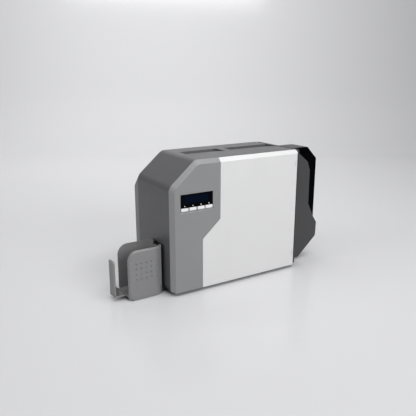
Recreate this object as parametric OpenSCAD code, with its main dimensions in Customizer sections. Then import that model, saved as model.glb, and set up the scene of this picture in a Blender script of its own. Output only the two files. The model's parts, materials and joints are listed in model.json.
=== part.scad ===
// ID card printer: horizontal card path, side door, hinged input hopper cover and hang-on output hopper.
// Working frame: x = 0 at the output end of the case, y = 0 at the door's face, z = 0 on the table.

/* [Case] */
// Length of the case
case_l = 400; // [380:1:440]
// Height of the case without its feet
case_h = 337.7; // [330:0.1:360]
// Height of the case above the table
case_lift = 9; // [7:0.5:14]
// Wall of the case mouldings
wall = 3; // [2:0.1:4]
// Length of the corner chamfer along the top
chamfer_x = 87.3; // [60:0.1:100]
// Height of the corner chamfer
chamfer_z = 67.9; // [50:0.1:90]
// Rounding at both ends of the chamfer
chamfer_r = 25; // [8:1:30]
// Rounding of the bottom corners
bottom_r = 10; // [6:0.5:11]
// Rounding of the top corner at the input end
top_r = 6; // [5:0.5:10]
// Depth of the middle shell
mid_d = 180.4; // [170:0.1:200]
// Depth of the rear cover
rear_d = 51; // [45:1:70]
// How far the rear cover narrows on each side
rear_draft = 9; // [4:0.5:14]
// Height of the base pan's rim above the bottom of the case
rim_h = 12; // [12:0.5:20]
// Radius of a foot
foot_r = 11; // [8:0.5:14]

/* [Front panels] */
// Depth of the display panel, which is also its 45 degree edge
front_d = 10.5; // [9:0.5:12]
// Wall of the front panels
front_wall = 2.6; // [2:0.1:3.2]
// Seam between the panel and the door, upper stretch
seam_upper_x = 142.7; // [135:0.1:150]
// Seam between the panel and the door, lower stretch
seam_lower_x = 89.5; // [80:0.1:100]
// Height where the seam starts to slant
seam_upper_z = 188.3; // [180:0.1:200]
// Height where the slant ends
seam_lower_z = 141.8; // [130:0.1:150]
// Width of the seam
seam_gap = 0.8; // [0.6:0.1:1.2]
// Radius of the door's hinge barrel
barrel_r = 4.9; // [4:0.1:4.9]
// Height of a hinge knuckle
knuckle_h = 16; // [12:1:24]
// Radius of a hinge pin
hinge_pin_r = 1.6; // [1.2:0.1:2]
// Running clearance of pins and shafts, radial
fit = 0.05; // [0.02:0.01:0.09]
// Clearance between pieces that move past each other
gap = 0.4; // [0.3:0.05:0.5]

/* [Display] */
// Distance from the case's end to the window
window_x = 27; // [26:0.5:32]
// From the window's lower edge up to the top of the case
window_drop = 115.7; // [110:0.1:120]
// Width of the window
window_w = 93.4; // [88:0.2:96]
// Height of the window
window_h = 34.4; // [30:0.2:36]
// Thickness of the window
window_t = 2.2; // [1.6:0.1:2.6]
// Height of a button
button_h = 7.8; // [6:0.1:8.4]
// Travel of a button
button_travel = 1; // [0.6:0.1:1.2]
// Number of buttons
button_n = 4; // [4:1:4]

/* [Card path] */
// Length of a card
card_l = 85.6; // [85:0.1:86]
// Width of a card
card_w = 54; // [53.5:0.1:54.5]
// Thickness of a card
card_t = 0.8; // [0.7:0.02:0.9]
// Middle of the card path, from the door's face
path_y = 74.5; // [73:0.5:76]
// Height of the card's underside
path_z = 123.6; // [122:0.1:126]
// Radius of a driven transport roller
drive_r = 8; // [7:0.5:9]
// Radius of a pinch roller
pinch_r = 6; // [5:0.5:6.5]
// Radius of every roller shaft
shaft_r = 3; // [2.5:0.1:3.5]
// Radius of the heat roller
heat_r = 20; // [18:0.5:21]
// Radius of the backup roller below it
backup_r = 12; // [10:0.5:13]
// Radius of the flipper's side discs
flip_r = 44; // [43:0.5:45]
// Thickness of a steel plate
plate_t = 2; // [1.5:0.1:2.5]

/* [Output hopper] */
// Length of the output hopper
out_l = 99.5; // [94:0.5:110]
// Height of the output hopper
out_h = 129.5; // [126:0.5:132]
// Height of its underside above the table
out_z = 1.5; // [1:0.1:3]
// Thickness of its walls
out_wall = 5.7; // [4.5:0.1:6.5]
// Rounding of its upper corners
out_r = 27; // [20:1:34]
// Edge bevel of its walls
out_bevel = 4.2; // [3:0.1:4.4]
// Reach of the card stop beyond the hopper
stop_reach = 30; // [24:1:36]
// Height of the card stop
stop_h = 84; // [60:1:90]
// Width of the card stop
stop_w = 27; // [22:1:32]

/* [Input hopper] */
// Thickness of the end frame
end_t = 4.3; // [3:0.1:5]
// Reach of the input hopper beyond the case
in_reach = 121; // [118:0.5:126]
// Wall of the input hopper's mouldings
in_wall = 2.5; // [2:0.1:3]
// Radius of the pick-up tyres
pick_r = 11; // [10:0.5:11.5]

/* [Hidden] */

case_top = case_lift + case_h;
mid_y = front_d + mid_d;
case_d = mid_y + rear_d;
door_gap = 0.3;
window_z = case_top - window_drop;

// Card path
lane = card_w / 2 + 0.8;
lane_y0 = path_y - lane;
lane_y1 = path_y + lane;
card_mid_z = path_z + card_t / 2;
shaft_z_low = path_z - drive_r;
pinch_z = path_z + card_t + pinch_r;

// Plates that carry the shafts
front_plate_y = 38;
chassis_y = 118;
chassis_back = chassis_y + plate_t;
bush_r = shaft_r + 2;
bush_flange_r = shaft_r + 4;

// Output hopper
out_gap = 2.5;
out_x1 = -out_gap;
out_x0 = out_x1 - out_l;
out_y0 = lane_y0 - out_wall;
out_y1 = lane_y1 + out_wall;
out_top = out_z + out_h;
out_floor_z = 10;
out_floor_t = 3.8;
out_heel_r = 9;
stop_t = 4.5;
stop_x = out_x0 - stop_reach;
back_wall_z = path_z - 4.6;
rail_w = 6;
rail_t = 3;
rail_ys = [lane_y0 + 8, lane_y1 - 8 - rail_w];
rail_top = 96;

// Input hopper, measured from the case's input end
end_x = case_l + end_t;
in_x = case_l + in_reach;
cheek_t = in_wall;
blind = 0.8;
in_y0 = lane_y0 - 3 - cheek_t;
in_y1 = lane_y1 + 3 + cheek_t;
cover_x = case_l + 107;
cover_top = case_top - 2.7;
cheek_top = cover_top - 4;
cover_bottom_z = path_z + 5.4;
boundary = [[case_l + 23, cheek_top], [case_l + 75, cheek_top - 40.5], [case_l + 84, cheek_top - 67],
    [case_l + 85, path_z + 48.4], [cover_x, cover_bottom_z]];
boundary_r = [6, 12, 10, 10, 2];
cover_axis = [case_l + 106, path_z - 2.6];
cover_pin_r = 2;
arm_t = 2.5;
arm_gap = 1;
arm_y0 = in_y0 + cheek_t + arm_gap;
arm_y1 = in_y1 - cheek_t - arm_gap;
floor_z = path_z - 1.1;
floor_t = 3;
pick_x = case_l + 40;
pick_z = path_z - pick_r;
gear_m = 1;
pick_teeth = 28;
pinion_teeth = 14;
pinion_angle = -60;
pinion_reach = gear_m * (pick_teeth + pinion_teeth) / 2;
pinion_x = pick_x + pinion_reach * cos(pinion_angle);
pinion_z = pick_z + pinion_reach * sin(pinion_angle);
gear_t = 2.2;
gear_y = lane_y1 + 0.4;

// Whole object
origin_x = (stop_x + in_x) / 2;
origin_y = case_d / 2;

// Shaft places, as [x, z]
entry_x = case_l - 22;
clean_x = case_l - 56;
clean_r = 9;
mid_x = 150;
heat_x = case_l - 175;
flip_x = 70;
entry_at = [entry_x, shaft_z_low];
entry_pinch_at = [entry_x, pinch_z];
clean_at = [clean_x, path_z + card_t + clean_r];
mid_at = [mid_x, shaft_z_low];
mid_pinch_at = [mid_x, pinch_z];
backup_at = [heat_x, path_z - backup_r];
heat_at = [heat_x, path_z + card_t + heat_r];
flip_at = [flip_x, card_mid_z];
motor_at = [case_l - 100, 62];
belt_r = 9;
hub_r = 8;
motor_w = 42;
motor_l = 30;
feed_motor_l = 34;
spindle_l = 20;
spacer_at = [for (x = [130, case_l - 12]) for (z = [path_z - 27.6, path_z + 42.4]) [x, z]];

// Cassettes, between the card path and the top of the case, and the printing nip between them
cassette_z0 = path_z + 60;
cassette_z1 = case_top - 20.7;
film_x = [case_l - 242, case_l - 142];
ribbon_x = [case_l - 78, case_l - 10];
film_supply_at = [film_x[1] - 30, cassette_z1 - 34];
film_takeup_at = [film_x[0] + 26, cassette_z0 + 34];
ribbon_supply_at = [ribbon_x[1] - 34, cassette_z1 - 26];
ribbon_takeup_at = [ribbon_x[1] - 34, cassette_z0 + 24];
film_supply_r = 27;
film_takeup_r = 21;
ribbon_supply_r = 22;
ribbon_takeup_r = 19;
platen_at = [case_l - 120, (cassette_z0 + cassette_z1) / 2];
platen_r = 13;
head_at = platen_at + [38, 30];
shafts = [entry_at, entry_pinch_at, clean_at, mid_at, mid_pinch_at, backup_at, heat_at];
front_shafts = concat(shafts, [flip_at]);
direct_at = [film_supply_at, film_takeup_at, ribbon_supply_at, ribbon_takeup_at, flip_at];
rear_post_r = 4;
rear_post_at = [[40, 60], [case_l - 22, 76], [130, case_top - 26.7],
    [case_l - 22, ribbon_supply_at[1] + motor_w / 2 + rear_post_r + 2]];
screw_r = 1.5;

// Moves a piece from the working frame to the object's own origin: bottom, middle of the plan
module at_origin() {
    translate([-origin_x, -origin_y, 0]) children();
}

// Extrudes an outline drawn in x and z from y0 to y1
module along_y(y0, y1) {
    translate([0, y1, 0]) rotate([90, 0, 0]) linear_extrude(y1 - y0) children();
}

// Extrudes an outline drawn in y and z from x0 to x1
module along_x(x0, x1) {
    translate([x0, 0, 0]) rotate([90, 0, 90]) linear_extrude(x1 - x0) children();
}

// Box from its low corner to its high corner
module span(a, b) {
    translate(a) cube(b - a);
}

// Round bar along y with its axis at [x, z]
module bar_y(at, r, y0, y1) {
    translate([at[0], y1, at[1]]) rotate([90, 0, 0]) cylinder(r = r, h = y1 - y0, $fn = 48);
}

// Round bar along z with its axis at [x, y]
module bar_up(at, r, z0, z1) {
    translate([at[0], at[1], z0]) cylinder(r = r, h = z1 - z0, $fn = 32);
}

function unit(v) = v / norm(v);
function left_of(a, b) = unit([a[1] - b[1], b[0] - a[0]]);

// Corners of an outline after edge i has moved inwards by ds[i]
function inset_by(pts, ds) =
    let (n = len(pts))
    [for (i = [0 : n - 1])
        let (h = (i + n - 1) % n, n1 = left_of(pts[h], pts[i]), n2 = left_of(pts[i], pts[(i + 1) % n]),
             c = n1 * n2)
        pts[i] + ((ds[h] - ds[i] * c) * n1 + (ds[i] - ds[h] * c) * n2) / (1 - c * c)];
function inset(pts, d) = inset_by(pts, [for (p = pts) d]);

// Arc of radius r that rounds corner p between its neighbours a and b
function corner_arc(a, p, b, r, n) =
    let (u = unit(a - p), v = unit(b - p), half = acos(u * v) / 2, c = p + unit(u + v) * r / sin(half),
         s = p + u * r / tan(half) - c, e = p + v * r / tan(half) - c,
         a0 = atan2(s[1], s[0]), turn = (atan2(e[1], e[0]) - a0 + 540) % 360 - 180)
    [for (i = [0 : n]) c + r * [cos(a0 + turn * i / n), sin(a0 + turn * i / n)]];

// Outline with corner i rounded to radius rs[i]
function rounded(pts, rs, n = 6) =
    let (m = len(pts))
    [for (i = [0 : m - 1])
        for (q = rs[i] > 0 ? corner_arc(pts[(i + m - 1) % m], pts[i], pts[(i + 1) % m], rs[i], n)
            : [pts[i]]) q];

case_corners = [[0, case_lift], [case_l, case_lift], [case_l, case_top], [chamfer_x, case_top],
    [0, case_top - chamfer_z]];
case_radii = [bottom_r, bottom_r, top_r, chamfer_r, chamfer_r];

// Case outline in x and z, moved inwards by d
module case_outline(d = 0) {
    polygon(rounded(inset(case_corners, d), [for (r = case_radii) max(r - d, 1)]));
}

// Thin slice of the front panels' outline: the left, chamfer and top edges move inwards by d
module front_slice(y, d, side = 0) {
    corners = inset_by(case_corners, [side, side, d, d, d]);
    along_y(y, y + 0.01) polygon(rounded(corners, [max(bottom_r - d, 1), 1, 1, chamfer_r - d / 2,
        chamfer_r - d / 2]));
}

// Solid block of both front panels, with its 45 degree edge
module front_block() {
    hull() {
        front_slice(0, front_d);
        front_slice(front_d - 0.01, 0);
    }
}

// Hollow of the front panels, open to the rear
module front_hollow() {
    slope = front_wall * sqrt(2);
    hull() {
        front_slice(front_wall, front_d - front_wall + slope, front_wall);
        front_slice(front_d + 1, slope - 1, front_wall);
    }
}

// Region left of the seam, moved by dx
module left_of_seam(dx) {
    polygon(rounded([[-20, -20], [seam_lower_x + dx, -20], [seam_lower_x + dx, seam_lower_z],
        [seam_upper_x + dx, seam_upper_z], [seam_upper_x + dx, case_top + 20], [-20, case_top + 20]],
        [0, 0, 8, 8, 0, 0]));
}

button_pitch = window_w / button_n;
button_w = button_pitch - 3;
button_z = window_z - button_h - 0.4;
opening_z = button_z - gap;
opening_top = window_z + window_h;
// Shallow pocket round the window, and the sloped lip below the buttons
pocket_d = 0.6;
pocket_rim = 3.2;
lip_d = 1.6;
lip_drop = 3;
board_y = 9.4;
post_r = 2.5;
post_at = [for (x = [window_x - 6, window_x + window_w + 6]) for (z = [opening_z - 7, opening_top + 5])
    [x, z]];

// Slab over the window's pocket from y0 to y1, grown by d
module display_pocket(y0, y1, d) {
    span([window_x - pocket_rim - d, y0, opening_z - lip_drop],
        [window_x + window_w + pocket_rim + d, y1, opening_top + pocket_rim + d]);
}

// Grey display panel: shell with a window opening, a sloped lip below the buttons and board posts
module display_panel() {
    color([0.54, 0.54, 0.54]) at_origin() {
        difference() {
            intersection() {
                front_block();
                along_y(-1, front_d + 1) left_of_seam(-seam_gap / 2);
            }
            intersection() {
                front_hollow();
                along_y(-1, front_d + 3) left_of_seam(-seam_gap / 2 - front_wall);
            }
            span([window_x, -1, opening_z], [window_x + window_w, front_wall + 1, opening_top]);
            hull() {
                display_pocket(-1, 0, 2 * pocket_d);
                display_pocket(0, pocket_d, 0);
            }
            along_x(window_x - pocket_rim, window_x + window_w + pocket_rim)
                polygon([[-1, opening_z + 0.01], [-1, opening_z - lip_drop - lip_d - 1],
                    [lip_d, opening_z - lip_drop], [lip_d, opening_z + 0.01]]);
        }
        for (at = post_at) difference() {
            bar_y(at, post_r, front_wall - 0.2, board_y);
            bar_y(at, 1, front_wall + 1, board_y + 1);
        }
    }
}

module display_window() {
    color([0.03, 0.03, 0.04]) at_origin()
        span([window_x, 0.6, window_z], [window_x + window_w, 0.6 + window_t, opening_top]);
}

// Liquid crystal display: its glass lies behind the window, inside a thin frame
lcd_x = window_x + 7;
lcd_z = window_z + 7.7;
lcd_w = 76;
lcd_h = 26;
lcd_rim = 3;
module lcd_module() {
    back = 0.6 + window_t;
    color([0.02, 0.03, 0.11]) at_origin() difference() {
        span([lcd_x, back, lcd_z], [lcd_x + lcd_w, board_y, lcd_z + lcd_h]);
        span([lcd_x + lcd_rim, back - 0.1, lcd_z + lcd_rim],
            [lcd_x + lcd_w - lcd_rim, back + 0.8, lcd_z + lcd_h - lcd_rim]);
    }
}

// Circuit board behind the display, with one push switch for each button
module key_board() {
    color([0.08, 0.3, 0.16]) at_origin() {
        difference() {
            span([window_x - 9, board_y, opening_z - 10],
                [window_x + window_w + 9, board_y + 1.6, opening_top + 8]);
            for (at = post_at) bar_y(at, 1, board_y - 1, board_y + 2);
        }
        for (i = [0 : button_n - 1])
            translate([window_x + button_pitch * (i + 0.5) - 3, board_y - 0.6, button_z + 1])
                cube([6, 0.7, 6]);
    }
}

// Button i: a cap with a rounded face and a stem that ends above its switch
module key_button(i) {
    x = window_x + button_pitch * (i + 0.5);
    cap = [[x - button_w / 2, button_z], [x + button_w / 2, button_z],
        [x + button_w / 2, button_z + button_h], [x - button_w / 2, button_z + button_h]];
    stem_end = board_y - 0.6 - gap - button_travel;
    color([0.93, 0.93, 0.94]) at_origin() {
        along_y(0.2, 4.2) polygon(rounded(cap, [1.2, 1.2, 1.2, 1.2], 4));
        bar_y([x, button_z + button_h / 2], 2, 4.1, stem_end);
    }
}
module button_1() { key_button(0); }
module button_2() { key_button(1); }
module button_3() { key_button(2); }
module button_4() { key_button(3); }

// Side door, hung on two short pins at the input end
door_back = front_d - door_gap;
door_axis = [case_l - gap - barrel_r, barrel_r + 0.1];
knuckle_z = [case_lift + 31, case_top - 46.7];
pin_reach = 10;
catch_at = [seam_lower_x + 16, case_lift + 51];
inner_cover_y = 30;
door_ribs_x = [for (k = [1 : 3]) seam_upper_x + k * (case_l - seam_upper_x) / 4];
door_ribs_z = [for (k = [1 : 5]) case_lift + k * (case_h - 10) / 5.5];
module side_door() {
    color([0.87, 0.87, 0.87]) at_origin() difference() {
        union() {
            difference() {
                intersection() {
                    front_block();
                    span([0, -1, 0], [door_axis[0], door_back, case_top + 1]);
                }
                intersection() {
                    front_hollow();
                    span([0, -1, 0], [door_axis[0] - barrel_r, front_d + 1, case_top + 1]);
                    along_y(-1, front_d + 2) difference() {
                        square([case_l, case_top]);
                        left_of_seam(seam_gap / 2 + front_wall);
                    }
                }
            }
            intersection() {
                front_block();
                translate([door_axis[0], door_axis[1], 0]) cylinder(r = barrel_r, h = case_top, $fn = 48);
            }
            // Ribs behind the face
            for (z = door_ribs_z)
                span([max(seam_lower_x, z > seam_lower_z ? seam_upper_x : 0) + 2, front_wall - 0.2, z],
                    [door_axis[0] - 2, 6, z + 2]);
            for (x = door_ribs_x)
                span([x, front_wall - 0.2, case_lift + 1], [x + 2, 6, case_top - front_d - 1]);
            // Boss behind the strike plate
            span([catch_at[0] - 8, front_wall - 0.2, catch_at[1] - 12],
                [catch_at[0] + 8, 8, catch_at[1] + 12]);
        }
        along_y(-1, front_d + 1) left_of_seam(seam_gap / 2);
        for (z = knuckle_z) {
            span([door_axis[0] - barrel_r - 1, -1, z - door_gap],
                [case_l + 1, front_d + 1, z + knuckle_h + door_gap]);
            translate([door_axis[0], door_axis[1], z - pin_reach - 1])
                cylinder(r = hinge_pin_r + fit, h = knuckle_h + 2 * pin_reach + 2, $fn = 32);
        }
    }
}

// Steel plate on the door, and the magnet on the inner cover that holds it
module door_strike() {
    color([0.75, 0.75, 0.77]) at_origin()
        span([catch_at[0] - 7, 8, catch_at[1] - 11], [catch_at[0] + 7, 9.2, catch_at[1] + 11]);
}
module door_magnet() {
    color([0.15, 0.15, 0.16]) at_origin() difference() {
        span([catch_at[0] - 6, 9.2 + gap, catch_at[1] - 10],
            [catch_at[0] + 6, inner_cover_y, catch_at[1] + 10]);
        // Groove between its two pole plates
        span([catch_at[0] - 1.5, 9, catch_at[1] - 11], [catch_at[0] + 1.5, 11, catch_at[1] + 11]);
    }
}

// Knuckles fixed to the end frame, each filling a notch in the door's edge
module hinge_brackets() {
    color([0.85, 0.85, 0.85]) at_origin() for (z = knuckle_z) difference() {
        union() {
            translate([door_axis[0], door_axis[1], z]) cylinder(r = barrel_r, h = knuckle_h, $fn = 48);
            span([door_axis[0], door_axis[1] - 1, z], [case_l, front_d, z + knuckle_h]);
        }
        translate([door_axis[0], door_axis[1], z - 1])
            cylinder(r = hinge_pin_r, h = knuckle_h + 2, $fn = 32);
    }
}

// Steel pins of the side door and of the input hopper's cover
module hinge_pins() {
    color([0.7, 0.7, 0.72]) at_origin() {
        for (z = knuckle_z) translate([door_axis[0], door_axis[1], z - pin_reach])
            cylinder(r = hinge_pin_r, h = knuckle_h + 2 * pin_reach, $fn = 32);
        bar_y(cover_axis, cover_pin_r, in_y0 + blind, arm_y0 + arm_t + 0.6);
        bar_y(cover_axis, cover_pin_r, arm_y1 - arm_t - 0.6, in_y1 - blind);
    }
}

// Tray that closes the bottom of the case
module base_pan() {
    color([0.3, 0.3, 0.31]) at_origin() difference() {
        along_y(front_d, mid_y) difference() {
            intersection() {
                case_outline();
                translate([-1, 0]) square([case_l + 2, case_lift + rim_h]);
            }
            case_outline(wall);
        }
        for (x = [60 : 16 : case_l - 60])
            span([x, 60, case_lift - 1], [x + 6, 100, case_lift + wall + 1]);
    }
}

foot_at = [for (x = [40, case_l - 40]) for (y = [35, mid_y - 25]) [x, y]];
module rubber_feet() {
    color([0.08, 0.08, 0.08]) at_origin() for (at = foot_at) translate([at[0], at[1], 0]) {
        cylinder(r1 = foot_r - 1, r2 = foot_r, h = case_lift, $fn = 48);
    }
}

recess_y0 = 84;
recess_y1 = 136;
recess_depth = 6.5;
recess_x = [112, 216, 240, case_l - 9];
slot_z0 = path_z - 3.2;
slot_z1 = path_z + 4.6;

// Wedge-shaped hollow in the top, from x0 to x1, grown by d
module recess_wedge(x0, x1, d = 0) {
    along_x(x0 - d, x1 + d) polygon([[recess_y0 - 2 * d, case_top + (d > 0 ? -0.5 : 0)],
        [recess_y0, case_top - d], [recess_y1 + d, case_top - recess_depth - d],
        [recess_y1 + d, case_top + (d > 0 ? -0.5 : 1)],
        [recess_y0 - 2 * d, case_top + (d > 0 ? -0.5 : 1)]]);
}

// Dark wrap-around shell between the front panels and the rear cover
module mid_shell() {
    color([0.42, 0.42, 0.43]) at_origin() difference() {
        union() {
            along_y(front_d, mid_y) difference() {
                case_outline();
                case_outline(wall);
            }
            recess_wedge(recess_x[0], recess_x[3], wall);
        }
        recess_wedge(recess_x[0], recess_x[1]);
        recess_wedge(recess_x[2], recess_x[3]);
        // Finger notch in the far wall of the recess
        span([202, 124, case_top - recess_depth - 1], [212, recess_y1 + 2, case_top + 1]);
        // Room for the base pan
        span([-1, 0, 0], [case_l + 1, mid_y + 1, case_lift + rim_h]);
        // Card slots at both ends
        span([-1, lane_y0, slot_z0], [wall + 1, lane_y1, slot_z1]);
        span([case_l - wall - 1, lane_y0, slot_z0], [case_l + 1, lane_y1, slot_z1]);
        // Screw holes in the output end
        for (at = [[45, 158], [134, 159]])
            translate([-1, at[0], at[1]]) rotate([0, 90, 0]) cylinder(r = 1.6, h = wall + 2, $fn = 24);
    }
}

rear_edge = 7;
inlet_at = [case_l - 55, 44];
rocker_at = [case_l - 100, 44];
usb_at = [60, 70];
lan_at = [92, 70];
fan_at = [case_l - 170, 80];
fan_w = 60;

// Thin slice of the rear cover's outline
module rear_slice(y, d) {
    along_y(y, y + 0.01) case_outline(d);
}

// Rear cover: a drafted shell with air slots and the openings for the sockets
module rear_cover() {
    color([0.46, 0.46, 0.46]) at_origin() difference() {
        hull() {
            rear_slice(mid_y, 0);
            rear_slice(case_d - rear_edge, rear_draft);
            rear_slice(case_d - 0.01, rear_draft + rear_edge * 0.7);
        }
        hull() {
            rear_slice(mid_y - 1, wall);
            rear_slice(case_d - rear_edge - wall, rear_draft + wall * 0.8);
            rear_slice(case_d - wall, rear_draft + rear_edge * 0.7);
        }
        // Air slots
        for (x = [120 : 12 : case_l - 40])
            span([x, case_d - wall - 1, fan_at[1] + 120], [x + 5, case_d + 1, case_top - 56.7]);
        for (z = [-20 : 10 : 20])
            span([fan_at[0] - 24, case_d - wall - 1, fan_at[1] + z - 2.5],
                [fan_at[0] + 24, case_d + 1, fan_at[1] + z + 2.5]);
        for (at = rear_post_at) {
            bar_y(at, screw_r, case_d - wall - 1, case_d + 1);
            bar_y(at, 3.6, case_d - 1.6, case_d + 1);
        }
        span([inlet_at[0] - 14, case_d - wall - 1, inlet_at[1] - 10],
            [inlet_at[0] + 14, case_d + 1, inlet_at[1] + 10]);
        span([rocker_at[0] - 7, case_d - wall - 1, rocker_at[1] - 10],
            [rocker_at[0] + 7, case_d + 1, rocker_at[1] + 10]);
        span([usb_at[0] - 6.5, case_d - wall - 1, usb_at[1] - 6],
            [usb_at[0] + 6.5, case_d + 1, usb_at[1] + 6]);
        span([lan_at[0] - 8.5, case_d - wall - 1, lan_at[1] - 7],
            [lan_at[0] + 8.5, case_d + 1, lan_at[1] + 7]);
    }
}

// Frame that closes the input end of the case and carries the door's hinge and the input hopper.
// Its front edge is sloped, so that the open door's heel clears it
module end_frame() {
    front = 2;
    slope = [2.2, 4.2];
    outline = [[front, case_lift], [mid_y, case_lift], [mid_y, case_top], [front, case_top]];
    color([0.2, 0.2, 0.21]) at_origin() difference() {
        along_x(case_l, end_x) polygon(rounded(outline, [8, 4, 4, 4]));
        span([case_l - 1, lane_y0, slot_z0], [end_x + 1, lane_y1, slot_z1]);
        linear_extrude(case_top + 1) polygon([[case_l - 1, front - 1], [case_l + slope[0], front - 1],
            [case_l + slope[0], front], [case_l, front + slope[1]], [case_l - 1, front + slope[1]]]);
    }
}

cheek_corners = concat([[end_x, case_lift - 1], [case_l + 53, case_lift - 1], [in_x - 1, 66.4],
    [in_x, path_z - 14]], [for (i = [4 : -1 : 0]) boundary[i]], [[end_x, cheek_top]]);
cheek_radii = concat([1, 12, 12, 8], [for (i = [4 : -1 : 0]) boundary_r[i]], [1]);
lower_corners = [[end_x, case_lift - 1], [case_l + 53, case_lift - 1], [in_x - 1, 66.4],
    [in_x, path_z - 14], [cover_x, cover_bottom_z], [case_l + 92, cover_bottom_z],
    [case_l + 92, floor_z], [end_x, floor_z]];
lower_radii = [1, 12, 12, 8, 2, 1, 1, 1];

// Involute-like spur gear outline with thinned teeth, tooth 0 centred on the first axis
function gear_points(teeth, m) =
    let (r = teeth * m / 2, root = r - 1.25 * m, tip = r + 0.85 * m, step = 360 / teeth,
         half = (PI * m / 2 - 0.3 * m) / 2 / r * 180 / PI)
    [for (i = [0 : teeth - 1]) for (q = [[root, -1.5], [r, -1], [tip, -0.42], [tip, 0.42], [r, 1],
        [root, 1.5]]) q[0] * [cos(i * step + q[1] * half), sin(i * step + q[1] * half)]];
module gear(at, teeth, y0, y1, turn, bore = 0) {
    translate([at[0], 0, at[1]]) along_y(y0, y1) rotate(turn) difference() {
        polygon(gear_points(teeth, gear_m));
        if (bore > 0) circle(r = bore, $fn = 32);
    }
}

// Input hopper body: two cheeks, card floor, gate wall and a hollow lower part
module hopper_housing() {
    color([0.27, 0.27, 0.28]) at_origin() difference() {
        union() {
            for (y = [in_y0, in_y1 - cheek_t])
                along_y(y, y + cheek_t) polygon(rounded(cheek_corners, cheek_radii));
            along_y(in_y0 + 0.1, in_y1 - 0.1) difference() {
                polygon(rounded(lower_corners, lower_radii));
                polygon(rounded(inset_by(lower_corners, [in_wall, in_wall, in_wall, in_wall, in_wall,
                    in_wall, floor_t, -5]), [1, 10, 10, 6, 1, 1, 1, 1]));
            }
            // Gate wall above the card slot, and the narrow blade that lets one card pass
            span([end_x, in_y0 + 0.1, slot_z1], [end_x + in_wall, in_y1 - 0.1, cheek_top]);
            along_y(path_y - 5, path_y + 5) polygon([[end_x, slot_z1 + 0.1], [end_x + in_wall, slot_z1 + 0.1],
                [end_x + in_wall, path_z + card_t + 2.4], [end_x + 0.8, path_z + card_t + 0.5],
                [end_x, path_z + card_t + 0.5]]);
            // Card guide ribs on the cheeks
            for (x = [20, 44, 68]) {
                span([case_l + x, in_y0 + cheek_t - 0.1, floor_z + 14],
                    [case_l + x + 3, lane_y0, boundary[1][1] - 6]);
                span([case_l + x, lane_y1, floor_z + 14],
                    [case_l + x + 3, in_y1 - cheek_t + 0.1, boundary[1][1] - 6]);
            }
        }
        // Slots for the cover's arms
        for (y = [arm_y0 - 0.6, arm_y1 - arm_t - 0.6])
            span([cover_axis[0] - 8, y, cover_axis[1] - 9], [in_x + 2, y + arm_t + 1.2, cover_bottom_z + 2]);
        bar_y(cover_axis, cover_pin_r, in_y0 + blind, in_y1 - blind);
        // Slots for the pick-up tyres and the gear, and bores for their shafts
        for (y = tyre_y) span([pick_x - 10, y - 1, floor_z - floor_t - 1],
            [pick_x + 10, y + tyre_w + 1, floor_z + 1]);
        span([pick_x - 17, gear_y - 0.8, floor_z - floor_t - 1],
            [pick_x + 17, in_y1 - cheek_t, floor_z + 1]);
        bar_y([pick_x, pick_z], shaft_r + fit, in_y0 + blind, in_y1 - blind);
        bar_y([pinion_x, pinion_z], shaft_r + fit, in_y1 - cheek_t - 1, in_y1 - blind);
    }
}

tyre_y = [path_y - 21, path_y - 3];
tyre_w = 9;
module pickup_roller() {
    color([0.12, 0.12, 0.13]) at_origin() {
        bar_y([pick_x, pick_z], shaft_r, in_y0 + blind + 0.3, in_y1 - blind - 0.3);
        for (y = tyre_y) bar_y([pick_x, pick_z], pick_r, y, y + tyre_w);
        gear([pick_x, pick_z], pick_teeth, gear_y, gear_y + gear_t, pinion_angle);
    }
}
pickup_motor_w = 28;
pickup_motor_y = [path_y + 7.5, gear_y - 1];
module pickup_pinion() {
    color([0.75, 0.7, 0.5]) at_origin() {
        gear([pinion_x, pinion_z], pinion_teeth, gear_y, gear_y + gear_t,
            pinion_angle + 180 + 180 / pinion_teeth);
        bar_y([pinion_x, pinion_z], shaft_r, pickup_motor_y[1] - 6, in_y1 - blind - 0.3);
    }
}

// Small motor of the pick-up roller, held on two posts
module pickup_stepper() {
    w = pickup_motor_w / 2;
    difference() {
        union() {
            span([pinion_x - w, pickup_motor_y[0], pinion_z - w],
                [pinion_x + w, pickup_motor_y[1], pinion_z + w]);
            for (s = [-1, 1]) bar_y([pinion_x + s * (w - 3), pinion_z - w + 3], 2.5,
                pickup_motor_y[1] - 0.1, in_y1 - cheek_t);
        }
        bar_y([pinion_x, pinion_z], shaft_r + fit, pickup_motor_y[1] - 8, pickup_motor_y[1] + 1);
    }
}

cover_corners = concat([[end_x, cheek_top]], boundary, [[cover_x, cover_top - 36], [cover_x - 36, cover_top],
    [end_x, cover_top]]);
cover_shape = inset_by(cover_corners, [gap, gap, gap, gap, gap, 0, 0, 0, 0.3]);
cover_hollow = inset_by(cover_corners, [-1, -1, -1, -1, -1, in_wall, in_wall, in_wall, -1]);
cover_radii = [0, 6, 12, 10, 10, 0, 8, 8, 1];

// Smoked cover of the input hopper, hinged at its foot on two arms
module hopper_cover() {
    color([0.04, 0.04, 0.06]) at_origin() difference() {
        union() {
            for (y = [in_y0 + 0.8, in_y1 - 0.8 - cheek_t])
                along_y(y, y + cheek_t) polygon(rounded(cover_shape, cover_radii));
            along_y(in_y0 + 0.9, in_y1 - 0.9) difference() {
                polygon(rounded(cover_shape, cover_radii));
                polygon(rounded(cover_hollow, [0, 0, 0, 0, 0, 0, 6, 6, 0]));
            }
            for (y = [arm_y0, arm_y1 - arm_t]) {
                bar_y(cover_axis, 4.2, y, y + arm_t);
                along_y(y, y + arm_t) polygon([cover_axis - [4.2, 0], cover_axis + [3.6, 0],
                    [cover_x - 0.5, cover_bottom_z + 8], [cover_x - 0.5, cover_bottom_z + 26],
                    [cover_x - 9, cover_bottom_z + 26]]);
            }
        }
        bar_y(cover_axis, cover_pin_r + fit, arm_y0 - 0.5, arm_y1 + 0.5);
    }
}

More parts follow.
